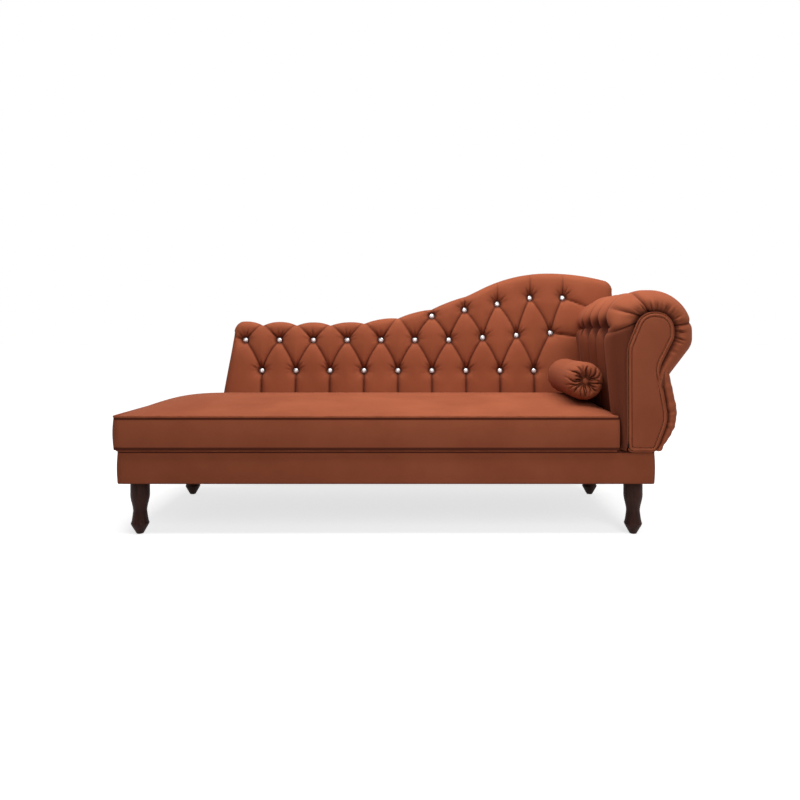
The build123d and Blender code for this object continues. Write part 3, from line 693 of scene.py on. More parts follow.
def dress(piece: Piece, slot: Slot, body: Body, *nodes: str, fill: float | None = None) -> None:
    """Give a piece its finish, its body and the nodes it stands for.

    Args:
        piece: The piece.
        slot: The record's material slot.
        body: The body it rides on.
        nodes: Nodes that it stands for.
        fill: How full it is, where it is padded; not used.
    """
    piece.data.materials.clear()
    piece.data.materials.append(MATERIALS[slot])
    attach(piece, body.value)
    if nodes:
        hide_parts(*nodes)
    LOG.info("%s: %d faces on %s", piece.name, len(piece.data.polygons), body.value)


def swell(piece: Piece, held: np.ndarray, pressure: float, cap: float, frames: int = 20) -> None:
    """Let cloth swell under pressure between the places where it is held.

    Args:
        piece: The piece, whose mesh is changed.
        held: True for each vertex that is sewn down.
        pressure: Air pressure of the simulation.
        cap: The furthest that a vertex may move, in metres.
        frames: Frames to step.
    """
    scene = bpy.context.scene
    start = places(piece)
    group = piece.vertex_groups.new(name="held")
    group.add(np.flatnonzero(held).tolist(), 1.0, "REPLACE")
    cloth = piece.modifiers.new("swell", "CLOTH")
    cloth.settings.quality = 4
    cloth.settings.mass = 0.35
    cloth.settings.use_pressure = True
    cloth.settings.uniform_pressure_force = pressure
    cloth.settings.vertex_group_mass = "held"
    cloth.settings.effector_weights.gravity = 0.0
    cloth.collision_settings.use_collision = False
    cloth.point_cache.frame_start = 1
    cloth.point_cache.frame_end = frames
    for step in range(1, frames + 1):
        scene.frame_set(step)
    swollen = places(piece.evaluated_get(bpy.context.evaluated_depsgraph_get()))
    scene.frame_set(1)
    piece.modifiers.clear()
    piece.vertex_groups.clear()
    moved = swollen - start
    far = np.maximum(np.linalg.norm(moved, axis=1, keepdims=True), 1e-9)
    set_places(piece, start + moved * np.minimum(1.0, cap / far))


# Geometry node trees


class NodeTree(Wiring):
    """A geometry node tree with named inputs."""

    def __init__(self, name: str, **inputs: str) -> None:
        """Start the tree.

        Args:
            name: The tree's name.
            inputs: Input name to the kind of its socket, apart from the geometry and the material.
        """
        super().__init__(bpy.data.node_groups.new(name, "GeometryNodeTree"))
        face = self.tree.interface
        face.new_socket("Geometry", in_out="INPUT", socket_type="NodeSocketGeometry")
        self.keys = {
            key: face.new_socket(key, in_out="INPUT", socket_type="NodeSocket" + kind).identifier
            for key, kind in {**inputs, "Material": "Material"}.items()
        }
        face.new_socket("Geometry", in_out="OUTPUT", socket_type="NodeSocketGeometry")
        self.given = self.add("NodeGroupInput").outputs

    def close(self, geometry: Socket) -> "NodeTree":
        """End the tree in real meshes with a material.

        Args:
            geometry: The geometry to close with.

        Returns:
            This tree.
        """
        real = self.add("GeometryNodeRealizeInstances", Geometry=geometry).outputs["Geometry"]
        done = self.add("GeometryNodeSetMaterial", Geometry=real, Material=self.given["Material"])
        self.add("NodeGroupOutput", Geometry=done.outputs["Geometry"])
        return self

    def grow(self, piece: Piece, slot: Slot, **values: object) -> Piece:
        """Run the tree on a piece and keep the plain mesh.

        Args:
            piece: The object that carries the points or the path.
            slot: Slot of the material to set.
            values: Input values by name.

        Returns:
            The piece.
        """
        modifier = piece.modifiers.new(self.tree.name, "NODES")
        modifier.node_group = self.tree
        for key, value in {**values, "Material": MATERIALS[slot]}.items():
            modifier[self.keys[key]] = value
        flatten(piece)
        return piece


def piping_tree() -> NodeTree:
    """A tree that covers a path with a round cord.

    Returns:
        The tree, whose inputs are the cord's radius, its sides and its material.
    """
    tree = NodeTree("piping", Radius="Float", Sides="Int")
    path = tree.add("GeometryNodeMeshToCurve", Mesh=tree.given["Geometry"]).outputs["Curve"]
    ring = tree.add("GeometryNodeCurvePrimitiveCircle", Radius=tree.given["Radius"], Resolution=tree.given["Sides"])
    tube = tree.add("GeometryNodeCurveToMesh", Curve=path, Profile_Curve=ring.outputs["Curve"], Fill_Caps=True)
    return tree.close(tree.add("GeometryNodeSetShadeSmooth", Geometry=tube.outputs["Mesh"]).outputs["Geometry"])


def button_tree() -> NodeTree:
    """A tree that sets one button on each point, facing along the point's own direction.

    Returns:
        The tree, whose inputs are the button to copy, its size and its material.
    """
    tree = NodeTree("buttons", Button="Object", Size="Float")
    facing = tree.add("GeometryNodeInputNamedAttribute", {"data_type": "FLOAT_VECTOR"}, Name="facing")
    turn = tree.add("FunctionNodeAlignRotationToVector", {"axis": "Z"}, Vector=facing.outputs["Attribute"])
    model = tree.add("GeometryNodeObjectInfo", Object=tree.given["Button"]).outputs["Geometry"]
    copies = tree.add(
        "GeometryNodeInstanceOnPoints",
        Points=tree.given["Geometry"],
        Instance=model,
        Rotation=turn.outputs["Rotation"],
        Scale=tree.given["Size"],
    )
    return tree.close(copies.outputs["Instances"])


def staple_tree() -> NodeTree:
    """A tree that sets staples along a path at an even spacing.

    Returns:
        The tree, whose inputs are the spacing, the staple's size and its material.
    """
    tree = NodeTree("staples", Spacing="Float", Size="Vector")
    path = tree.add("GeometryNodeMeshToCurve", Mesh=tree.given["Geometry"]).outputs["Curve"]
    spots = tree.add("GeometryNodeCurveToPoints", {"mode": "LENGTH"}, Curve=path, Length=tree.given["Spacing"])
    wire = tree.add("GeometryNodeMeshCube", Size=tree.given["Size"]).outputs["Mesh"]
    copies = tree.add(
        "GeometryNodeInstanceOnPoints",
        Points=spots.outputs["Points"],
        Instance=wire,
        Rotation=spots.outputs["Rotation"],
    )
    return tree.close(copies.outputs["Instances"])


PIPING = piping_tree()
BUTTONS = button_tree()
STAPLES = staple_tree()


def path_piece(name: str, points: np.ndarray, closed: bool = False) -> Piece:
    """A path of edges for a tree to follow.

    Args:
        name: The piece's name.
        points: Points along the path.
        closed: Join the last point to the first.

    Returns:
        The new object.
    """
    count = len(points)
    edges = [(k, k + 1) for k in range(count - 1)] + ([(count - 1, 0)] if closed else [])
    mesh = bpy.data.meshes.new(name)
    mesh.from_pydata(np.asarray(points, float).tolist(), edges, [])
    return add_object(name, mesh)


def pipe(name: str, points: np.ndarray, radius: float, *nodes: str, closed: bool = False) -> None:
    """A sewn-in piping along a path.

    Args:
        name: The piece's name.
        points: Points along its middle.
        radius: Its radius.
        nodes: Nodes that it stands for.
        closed: Join its ends.
    """
    piece = PIPING.grow(path_piece(name, points, closed), Slot.PIPING, Radius=radius, Sides=12)
    dress(piece, Slot.PIPING, Body.SOFA, *nodes)


def set_buttons(
    name: str, points: np.ndarray, facings: np.ndarray, model: Piece, size: float, slot: Slot, body: Body, node: str
) -> Piece:
    """Set a copy of a model on each point, and take the model away.

    Args:
        name: The piece's name.
        points: Where the buttons sit.
        facings: The way each button faces.
        model: A button of radius 1.
        size: Radius of the buttons.
        slot: The record's material slot.
        body: The body that they ride on.
        node: The node that they stand for.

    Returns:
        The finished piece.
    """
    mesh = bpy.data.meshes.new(name)
    mesh.from_pydata(points.tolist(), [], [])
    layer = mesh.attributes.new("facing", "FLOAT_VECTOR", "POINT")
    layer.data.foreach_set("vector", facings.astype(np.float32).ravel())
    piece = BUTTONS.grow(add_object(name, mesh), slot, Button=model, Size=size)
    dress(piece, slot, body, node)
    bpy.data.objects.remove(model)
    return piece


# Sub-assemblies


@dataclass
class Legs:
    """Four turned legs in dark stained wood."""

    straight: float = 0.044
    ankle_height: float = 0.074
    ankle: float = 0.0215
    knee_height: float = 0.034
    knee: float = 0.0288
    knee_bend: float = 0.62
    knee_edge: tuple[Pair, ...] = ((-0.0004, -0.0012), (0.0, 0.0), (-0.0006, 0.0014))
    foot: float = 0.0115
    foot_edge: Pair = (0.0015, 0.0012)
    gap: float = 0.0003
    sides: int = 64
    names: tuple[str, ...] = ("leg_front_left", "leg_front_right", "leg_rear_left", "leg_rear_right")

    def profile(self, top: float, height: float) -> list[Pair]:
        """The leg's half outline.

        Args:
            top: Radius of the straight top.
            height: Height of the leg.

        Returns:
            Radius and height from the floor up.
        """
        neck = height - self.straight
        calf = self.ankle_height - self.knee_height
        cut, lift = self.foot_edge
        outline = [(self.foot - cut, 0.0), (self.foot, lift)]
        for share in (0.3, 0.6, 0.9):
            outline.append((self.foot + (self.knee - self.foot) * share, lift + (self.knee_height - 0.003) * share))
        outline += [(self.knee + out, self.knee_height + up) for out, up in self.knee_edge]
        for share in np.linspace(0.08, 1.0, 14):
            radius = self.knee + (self.ankle - self.knee) * share**self.knee_bend
            outline.append((radius, self.knee_height + calf * share))
        for share in np.linspace(0.06, 1.0, 18):
            radius = self.ankle + (top - self.ankle) * ease(share)
            outline.append((radius, self.ankle_height + (neck - self.ankle_height) * share))
        return outline + [(top, neck + 0.012), (top, height - 0.002), (top - 0.001, height)]

    def build(self) -> None:
        """Turn each leg where its node stands."""
        for name in self.names:
            low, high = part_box(name)
            top = (high.y - low.y) / 2 - self.gap
            leg = lathe(name.replace("leg_", "turned_leg_"), self.profile(top, high.z), self.sides)
            set_places(leg, places(leg) + np.array([(low.x + high.x) / 2, (low.y + high.y) / 2, 0.0]))
            dress(leg, Slot.LEG, Body.SOFA, name)


@dataclass
class Base:
    """The cloth-covered plinth, its welt and the stapled dust cover."""

    corner: float = 0.012
    point_step: float = 0.012
    turn_under: float = 0.016
    edge: tuple[Pair, ...] = ((0.004, 0.0), (0.0012, 0.0008), (0.0, 0.004))
    seam_rows: tuple[float, ...] = (0.010, 0.007)
    bulge: float = 0.0016
    # Painted shade: the first level is for the dark lines under the welt and along the bottom edge, the second for
    # the sides
    seam_shade: float = 0.9
    nap_and_painted_shade: float = 0.16
    welt: float = 0.0028
    welt_corner: float = 0.014
    staple_spacing: float = 0.045
    staple: Corner = (0.0012, 0.0012, 0.011)

    def loop(self, inset: float) -> np.ndarray:
        """The plinth's plan, with rounded corners.

        Args:
            inset: How far it is drawn in.

        Returns:
            Points around the plan, anticlockwise.
        """
        low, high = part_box("base_band_front")[0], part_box("base_band_rear")[1]
        radius = max(self.corner - inset, 0.002)
        x0, x1 = low.x + inset + radius, high.x - inset - radius
        y0, y1 = low.y + inset + radius, high.y - inset - radius
        points = []
        for x, y, start in ((x1, y0, -90), (x1, y1, 0), (x0, y1, 90), (x0, y0, 180)):
            turns = [math.radians(start + a) for a in range(0, 91, 10)]
            points += [(x + radius * math.cos(t), y + radius * math.sin(t)) for t in turns]
        run = []
        for (ax, ay), (bx, by) in zip(points, points[1:] + points[:1]):
            steps = max(1, int(math.dist((ax, ay), (bx, by)) / self.point_step))
            run += [(ax + (bx - ax) * k / steps, ay + (by - ay) * k / steps) for k in range(steps)]
        return np.array(run)

    def levels(self, low: float, high: float) -> list[Pair]:
        """The plinth's side from its underside to its top.

        Args:
            low: Height of the underside.
            high: Height of the top.

        Returns:
            How far each level is drawn in, and its height.
        """
        rise = self.edge[-1][1]
        top = self.seam_rows[0]
        rows = [(self.turn_under, low), *[(inset, low + up) for inset, up in self.edge]]
        for share in np.linspace(0.1, 0.9, 9):
            rows.append((-self.bulge * math.sin(math.pi * share), low + rise + (high - low - top - rise) * share))
        rows += [(0.0, high - down) for down in self.seam_rows]
        return rows + [(inset, high - down) for inset, down in reversed(self.edge)] + [(self.turn_under, high)]

    def build(self) -> None:
        """Make the covered plinth, its welt and the staples below."""
        low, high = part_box("base_band_front")
        levels = self.levels(low.z, high.z)
        plans, creases = [], []
        for inset, z in levels:
            plan = self.loop(max(inset, 0.0))
            if inset < 0:
                plan = plan + np.sign(plan - plan.mean(axis=0)) * np.abs(inset)
            plans.append(plan)
            # Painted shade: dark lines at the top and bottom edges, the sides darker towards the bottom
            lower = (high.z - z) / (high.z - low.z)
            seam_shade = z > high.z - 0.008 or z < low.z + 0.003
            creases.append(self.seam_shade if seam_shade else self.nap_and_painted_shade * (0.4 + 1.2 * lower))
        count = min(len(plan) for plan in plans)
        points = np.vstack([at_height(even_ring(plan, count), z) for plan, (_, z) in zip(plans, levels)])
        wrap = make_piece("base_wrap", points, grid_faces(len(levels), count, wrap=True))
        mark_painted_shade(wrap, np.repeat(creases, count))
        dress(
            wrap, Slot.CLOTH, Body.SOFA, "base_band_front", "base_band_left", "base_band_rear", "base_band_right"
        )
        self.build_welt()
        self.build_staples()

    def build_welt(self) -> None:
        """The thin welt between the plinth and the seat, along the front and the foot end."""
        low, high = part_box("base_welt")
        x, y = low.x + self.welt, low.y + self.welt
        path = rounded([(high.x, y, 0.0), (x, y, self.welt_corner), (x, high.y, 0.0)], 9, 60)
        pipe("base_piping", at_height(path, (low.z + high.z) / 2), self.welt, "base_welt")

    def build_staples(self) -> None:
        """Staples that hold the dust cover's edge."""
        plan = at_height(self.loop(self.turn_under + 0.006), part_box("dust_cover")[0].z - 0.0004)
        staples = path_piece("dust_cover_staples", plan, closed=True)
        STAPLES.grow(staples, Slot.STEEL, Spacing=self.staple_spacing, Size=self.staple)
        dress(staples, Slot.STEEL, Body.SOFA)


@dataclass
class Seat:
    """The crowned seat pad with its boxing and the piping round its top edge."""

    crown: float = 0.043
    crown_foot: float = 0.002
    crown_arm: float = 0.010
    foot_run: float = 0.270
    arm_run: float = 0.110
    welt: float = 0.004
    step: float = 0.0125
    corner: float = 0.016
    tuck: float = 0.006
    bulge: float = 0.004
    # Painted shade levels at the seams and on the boxing
    seam_shade: float = 0.9
    nap_and_painted_shade: float = 0.10
    pressure: float = 1.2
    cap: float = 0.006

    def __post_init__(self) -> None:
        """Take the seat's edges from the frame."""
        low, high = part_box("seat_boxing")
        self.front, self.rear, self.foot, self.arm, self.bottom = low.y, high.y, low.x, high.x, low.z
        self.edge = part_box("seat_welt")[1].z - self.welt

    def top(self, x: np.ndarray, y: np.ndarray) -> np.ndarray:
        """Height of the crown over the seat's edge.

        Args:
            x: Places along the seat.
            y: Places across it.

        Returns:
            Heights.
        """
        from_foot = np.clip((x - self.foot) / self.foot_run, 0, 1)
        from_arm = np.clip((self.arm - x) / self.arm_run, 0, 1)
        foot_fall = (self.crown - self.crown_foot) * (1 - from_foot) ** 3
        arm_fall = (self.crown - self.crown_arm) * (1 - from_arm) ** 3
        across = 2 * (y - self.front) / (self.rear - self.front) - 1
        return (self.crown - foot_fall - arm_fall) * (1 - across**2)

    def spaced(self, first: float, middle: float, last: float) -> tuple[np.ndarray, int]:
        """Grid lines from first to last, with one at the middle place.

        Args:
            first: The first line.
            middle: A place that gets a line of its own.
            last: The last line.

        Returns:
            The lines' places, and the number of the middle one.
        """
        lines = np.concatenate([np.arange(first, middle, self.step), np.arange(middle, last, self.step), [last]])
        return lines, int(np.argmin(np.abs(lines - middle)))

    def build(self, back: "TuftedBack") -> None:
        """Make the pad, let it swell between its seams and pipe its edge.

        Args:
            back: The back, which the seat runs up to.
        """
        back_left = back.left(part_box("seat_welt")[0].z - back.origin[2]) + self.tuck
        back_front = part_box("back_tufted_cover")[0].y + self.tuck
        xs, notch_x = self.spaced(self.foot, back_left, self.arm + self.tuck)
        ys, notch_y = self.spaced(self.front, back_front, self.rear)
        index = -np.ones((len(xs), len(ys)), int)
        for i in range(len(xs)):
            index[i, : len(ys) if i <= notch_x else notch_y + 1] = 0
        index[index == 0] = np.arange(int((index == 0).sum()))
        keep = index >= 0
        gx, gy = np.meshgrid(xs, ys, indexing="ij")
        px, py = self.round_corners(gx[keep], gy[keep])
        tops = np.column_stack([px, py, self.edge + self.top(px, py)])
        corners = np.stack([index[:-1, :-1], index[1:, :-1], index[1:, 1:], index[:-1, 1:]], axis=2).reshape(-1, 4)
        faces = [tuple(quad) for quad in corners[corners.min(axis=1) >= 0].tolist()]
        ring = np.array(self.rim(notch_x, notch_y, index))
        self.build_pad(tops, faces, ring)
        self.build_piping(back_left)

    def build_pad(self, tops: np.ndarray, faces: list[Face], ring: np.ndarray) -> None:
        """Hang the boxing from the crowned top and close it below.

        Args:
            tops: Points of the crowned top.
            faces: Its faces, which the boxing's are added to.
            ring: Numbers of the points round its edge.
        """
        levels = [0.97, 0.93, 0.915, 0.90, *np.linspace(0.86, 0.14, 8), 0.10, 0.085, 0.07, 0.03, 0.0]
        rim = tops[ring]
        points, count, previous, seams = [tops], len(tops), ring, [np.zeros(len(tops))]
        # Painted shadow of the piping round the top's edge
        seams[0][ring] = self.seam_shade
        for level in levels:
            wall = rim.copy()
            wall[:, 2] = self.bottom + (rim[:, 2] - self.bottom) * level
            bulge = self.bulge * math.sin(math.pi * level)
            wall[:, 1] -= bulge * (wall[:, 1] < self.front + 0.001)
            wall[:, 0] -= bulge * (wall[:, 0] < self.foot + 0.001)
            numbers = count + np.arange(len(ring))
            count += len(ring)
            points.append(wall)
            faces += band_faces(previous, numbers, closed=True)
            previous = numbers
            # Painted shade: the boxing darker towards the bottom and darkest by its top and bottom seams
            wall_painted_shade = self.nap_and_painted_shade * (1.6 - 1.2 * level)
            near_seam = ease((0.10 - min(1 - level, level)) / 0.03)
            seams.append(np.full(len(ring), wall_painted_shade + (self.seam_shade - wall_painted_shade) * near_seam))
        faces.append(tuple(reversed(previous.tolist())))
        pad = make_piece("seat_pad", np.vstack(points), faces)
        held = np.zeros(count, bool)
        held[ring] = True
        held[previous] = True
        swell(pad, held, self.pressure, self.cap)
        mark_painted_shade(pad, np.concatenate(seams))
        edges = {tuple(sorted(pair)) for pair in zip(ring, np.roll(ring, -1))}
        for line in pad.data.edges:
            line.use_edge_sharp = tuple(sorted(line.vertices)) in edges
        dress(pad, Slot.CLOTH, Body.SOFA, "seat_foam", "seat_boxing", "seat_top_cover", fill=0.85)

    def round_corners(self, x: np.ndarray, y: np.ndarray) -> tuple[np.ndarray, np.ndarray]:
        """Round the plan's two corners at the foot end.

        Args:
            x: Places along the seat.
            y: Places across it.

        Returns:
            The moved places.
        """
        x, y = x.copy(), y.copy()
        for corner_y, way in ((self.front, 1), (self.rear, -1)):
            cx, cy = self.foot + self.corner, corner_y + way * self.corner
            inside = (x < cx) & ((y - cy) * way < 0)
            dx, dy = x[inside] - cx, y[inside] - cy
            square = np.maximum(np.abs(dx), np.abs(dy))
            round_ = np.maximum(np.hypot(dx, dy), 1e-9)
            x[inside], y[inside] = cx + dx * square / round_, cy + dy * square / round_
        return x, y

    @staticmethod
    def rim(notch_x: int, notch_y: int, index: np.ndarray) -> list[int]:
        """Point numbers round the edge of the plan, anticlockwise from the front of the foot end.

        Args:
            notch_x: Column where the back begins.
            notch_y: Row where the back begins.
            index: Point numbers by column and row.

        Returns:
            The numbers.
        """
        nx, ny = index.shape
        cells = [(i, 0) for i in range(nx)] + [(nx - 1, j) for j in range(1, notch_y + 1)]
        cells += [(i, notch_y) for i in range(nx - 2, notch_x - 1, -1)]
        cells += [(notch_x, j) for j in range(notch_y + 1, ny)]
        cells += [(i, ny - 1) for i in range(notch_x - 1, -1, -1)] + [(0, j) for j in range(ny - 2, 0, -1)]
        return [int(index[c]) for c in cells]

    def build_piping(self, back_left: float) -> None:
        """The piping along the front, the foot end and the short rear edge.

        Args:
            back_left: Where the back begins.
        """
        inset = self.welt * 0.35
        x, front, rear = self.foot + inset, self.front + inset, self.rear - inset
        corners = [
            (self.arm, front, 0.0), (x, front, self.corner), (x, rear, self.corner), (back_left - 0.002, rear, 0.0),
        ]
        pipe("seat_piping", at_height(rounded(corners, 9, 70), self.edge + 0.0006), self.welt, "seat_welt")


@dataclass
class TuftedBack:
    """The wave back: diamond-tufted front, cloth border, rear panel and crystal buttons."""

    low: float = 0.393
    crest: float = 0.604
    crest_x: float = 0.575
    crest_radius: float = 0.600
    fall_radius: float = 0.880
    slope: float = math.radians(27.0)
    left_foot: float = -0.738
    left_top: float = -0.681
    right: float = 0.830
    left_corner: float = 0.034
    right_corner: float = 0.030
    right_drop: float = 0.032
    thickness: float = 0.150
    side: float = 0.124
    edge_round: float = 0.028
    foot: float = 0.003
    pitch: float = 0.135
    top_pitch: float = 0.13095
    middle_start: float = -0.636
    top_start: float = 0.1065
    lower_height: float = 0.213
    middle_height: float = 0.335
    middle_rise: float = 0.028
    top_height: float = 0.431
    top_rise: float = 0.073
    scallop: float = 0.017
    scallop_fade: float = 0.0018
    scallops: int = 7
    dimple: float = 0.022
    button: float = 0.011
    button_height: float = 0.006
    crystal: float = 0.0098
    bow: float = 0.0065
    past: float = 0.012
    pleat_depth: float = 0.0095
    pleat_slack: float = 0.004
    pleat_width: float = 0.0046
    drop_depth: float = 0.0125
    drop_width: float = 0.0062
    valley_depth: float = 0.0085
    valley_slack: float = 0.002
    valley_width: float = 0.026
    pull: float = 0.021
    pull_width: float = 0.021
    hollow: float = 0.005
    hollow_width: float = 0.05
    gather: float = 0.0015
    gather_reach: float = 0.024
    gather_width: float = 0.015
    puff: float = 0.004
    puff_run: float = 0.05
    step: float = 0.0033
    rear_welt: float = 0.0028
    pleats: list[tuple[np.ndarray, np.ndarray, bool]] = field(default_factory=list)

    def __post_init__(self) -> None:
        """Take the back's plane and its buttons from the frame and the sizes."""
        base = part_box("base_band_rear")[1]
        self.origin = np.array([0.0, base.y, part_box("front_rail")[1].z])
        lean = math.asin((CAD_BOX[1].y - base.y) / self.crest)
        self.up = np.array([0.0, math.sin(lean), math.cos(lean)])
        self.front = np.array([0.0, -math.cos(lean), math.sin(lean)])
        nine, ten, five = np.arange(9), np.arange(10), np.arange(5)
        lower_x = self.middle_start + self.pitch * (nine + 0.5)
        middle_x = self.middle_start + self.pitch * ten
        upper_x = self.top_start + self.top_pitch * five
        self.lower = np.column_stack([lower_x, np.full(9, self.lower_height)])
        self.middle = np.column_stack([middle_x, self.middle_height + self.middle_rise * np.maximum(0, ten - 6) / 3])
        self.upper = np.column_stack([upper_x, self.top_height + self.top_rise * np.minimum(five / 3, 1)])
        self.spots = np.vstack([self.lower, self.middle, self.upper])
        self.lay_pleats()

    def lay_pleats(self) -> None:
        """List the pleats between buttons and out to the edges."""
        first = len(self.middle) - len(self.upper)
        for k, spot in enumerate(self.lower):
            self.pleats += [(spot, self.middle[k], True), (spot, self.middle[k + 1], True)]
            self.pleats.append((spot, np.array([spot[0], -self.past]), False))
        for k, spot in enumerate(self.middle[: first + 1]):
            for side in (k - 1, k):
                if 0 <= side < first:
                    self.pleats.append((spot, self.over_edge(self.lower[side]), False))
        for k, spot in enumerate(self.upper):
            self.pleats.append((spot, self.middle[first + k], True))
            if first + k + 1 < len(self.middle):
                self.pleats.append((spot, self.middle[first + k + 1], True))
            self.pleats.append((spot, self.over_edge(spot), False))
        right = self.right - self.right_corner
        left_end = np.array([self.left_top - self.past, self.middle[0][1] + 0.017])
        self.pleats += [
            (self.upper[-1], np.array([right, self.upper[-1][1] - self.pitch / 2]), False),
            (self.middle[-1], np.array([right, self.middle[-1][1] - self.pitch / 4]), False),
            (self.middle[0], left_end, False),
        ]

    def over_edge(self, spot: np.ndarray) -> np.ndarray:
        """The place just over the top edge, straight above a button."""
        return np.array([spot[0], self.wave(spot[:1])[0] + self.past])

    def wave(self, x: np.ndarray) -> np.ndarray:
        """Height of the plain top edge.

        Args:
            x: Places along the back.

        Returns:
            Heights up the back.
        """
        turn_x = self.crest_x - self.crest_radius * math.sin(self.slope)
        turn_h = self.crest - self.crest_radius * (1 - math.cos(self.slope))
        hollow = (turn_h - self.low) / (1 - math.cos(self.slope))
        hollow_x = turn_x - hollow * math.sin(self.slope)
        radius = np.where(x <= self.crest_x, self.crest_radius, self.fall_radius)
        hump = self.crest - radius + np.sqrt(np.maximum(radius**2 - (x - self.crest_x) ** 2, 0))
        rise = self.low + hollow - np.sqrt(np.maximum(hollow**2 - (x - hollow_x) ** 2, 0))
        return np.where(x <= hollow_x, self.low, np.where(x <= turn_x, rise, hump))

    def top(self, x: np.ndarray, scalloped: float) -> np.ndarray:
        """Height of the top edge with its scallops and rounded corners.

        Args:
            x: Places along the back.
            scalloped: Share of the scallops, from 0 to 1.

        Returns:
            Heights up the back.
        """
        height = self.wave(x)
        valleys = np.concatenate([[self.left_top - 0.02], self.lower[: self.scallops, 0]])
        for k, (start, end) in enumerate(zip(valleys, valleys[1:])):
            share = np.clip((x - start) / (end - start), 0, 1)
            crest = self.scallop - self.scallop_fade * k
            height = height + scalloped * crest * (1 - np.abs(2 * share - 1) ** 2.2) * ((x >= start) & (x < end))
        from_left = np.clip(1 - (x - self.left_top) / self.left_corner, 0, 1)
        from_right = np.clip(1 - (self.right - x) / self.right_corner, 0, 1)
        height = height - self.left_corner * (1 - np.sqrt(1 - from_left**2))
        return height - self.right_drop * (1 - np.sqrt(1 - from_right**2))

    def at(self, flat: np.ndarray, depth: np.ndarray) -> np.ndarray:
        """Points of the back in space, from places on its plane and distances from its rear face."""
        across = np.outer(flat[:, 0], [1.0, 0.0, 0.0])
        return self.origin + across + np.outer(flat[:, 1], self.up) + np.outer(depth, self.front)

    def columns(self) -> np.ndarray:
        """Shares along the back, closer together at the two corners.

        Returns:
            The shares, from 0 to 1.
        """
        span = self.right - self.left_top
        turn = np.linspace(0, math.pi / 2, 15)
        left = self.left_corner * (1 - np.cos(turn)) / span
        right = 1 - self.right_corner * (1 - np.cos(turn[::-1])) / span
        middle = np.arange(left[-1], right[0], self.step / span)[1:]
        return np.concatenate([left, middle, right])

    def sheet(self, columns: np.ndarray, rows: np.ndarray, scalloped: float) -> tuple[np.ndarray, np.ndarray]:
        """A grid over the back's outline.

        Args:
            columns: Shares along the back.
            rows: Shares of the height.
            scalloped: Share of the scallops.

        Returns:
            Places along the back and heights, rows by columns.
        """
        tops = self.top(self.left_top + columns * (self.right - self.left_top), scalloped)
        height = self.foot + rows[:, None] * (tops - self.foot)
        left = self.left(height)
        return left + columns * (self.right - left), height

    def left(self, height: np.ndarray | float) -> np.ndarray:
        """Place of the slanted left edge at some heights."""
        up = np.minimum(height / (self.low - self.left_corner), 1)
        return self.left_foot + (self.left_top - self.left_foot) * up

    def rim_distance(self, x: np.ndarray, height: np.ndarray) -> np.ndarray:
        """Distance of each grid point from the left, top and right edges.

        Args:
            x: Places along the back, rows by columns.
            height: Heights, rows by columns.

        Returns:
            Distances in the same order, no larger than about twice the rounding.
        """
        rim = np.vstack([np.column_stack([x[e], height[e]]) for e in (np.s_[:, 0], np.s_[-1], np.s_[:, -1])])
        flat = np.column_stack([x.ravel(), height.ravel()])
        far = np.full(len(flat), 2 * self.edge_round)
        near = np.minimum.reduce([x - x[:, :1], x[:, -1:] - x, height[-1] - height]).ravel() < 2 * self.edge_round
        picked = flat[near]
        best = np.full(len(picked), 9.0)
        for begin in range(0, len(rim), 64):
            gaps = picked[:, None, :] - rim[None, begin : begin + 64]
            best = np.minimum(best, np.sqrt((gaps**2).sum(axis=2)).min(axis=1))
        far[near] = best
        return far

    def tufting(self, flat: np.ndarray) -> tuple[np.ndarray, np.ndarray]:
        """How far the buttons and pleats draw the front in.

        Args:
            flat: Place along the back and height of each point.

        Returns:
            Depths in metres, and how deep in a fold each point lies, for painted shade in the pleats, round the
            buttons and in the gathers.
        """
        sharp, broad, fold, pulled, gathers = np.zeros((5, len(flat)))
        for start, end, tied in self.pleats:
            away, along = near_line(flat, start, end, self.bow if tied else 0.0)
            from_button = np.minimum(along, 1 - along) * 2 if tied else along
            downward = not tied and end[1] < 0
            straight = abs(end[0] - start[0]) < 0.001
            fade = 1.0 if tied or downward else 1 - (0.8 if straight else 0.45) * ease(along * 1.2)
            slack = self.pleat_slack * np.sin(np.pi * np.minimum(from_button, 1.0) / 2)
            depth = (self.drop_depth if downward else self.pleat_depth - slack) * fade
            width = self.drop_width if downward else self.pleat_width
            valley = (self.valley_depth - self.valley_slack * from_button) * fade
            sharp = np.maximum(sharp, depth * bell(away, width, 1.2))
            broad = np.maximum(broad, valley * bell(away, self.valley_width, 1.6))
            # Painted shade along each pleat
            fold = np.maximum(fold, fade * bell(away, 0.62 * width))
        noise = np.random.default_rng(SEED)
        for spot in self.spots:
            offset = flat - spot
            far = np.hypot(offset[:, 0], offset[:, 1])
            drawn = self.pull * bell(far, self.pull_width, 1.5) + self.hollow * bell(far, self.hollow_width)
            pulled = np.maximum(pulled, drawn)
            # Painted shade in a ring round each button
            fold = np.maximum(fold, 1.15 * bell(far, 0.0175, 6))
            turn = np.arctan2(offset[:, 1], offset[:, 0])
            ripple = np.zeros(len(flat))
            for fewest, most, share in ((9, 13, 1.0), (15, 19, 0.6)):
                ripple += share * np.cos(noise.integers(fewest, most) * turn + noise.uniform(0, PHASE))
            above = 0.2 + 0.8 * ease((np.sin(turn) - 0.1) / 0.7)
            fan = above * bell(far - self.gather_reach, self.gather_width)
            gathers += self.gather * ripple * fan
            # Painted shade in the gathers above each button
            fold = np.maximum(fold, 0.75 * ease(ripple - 0.3) * fan)
        return (broad**3 + pulled**3) ** (1 / 3) + sharp + gathers, np.clip(fold, 0, 1)

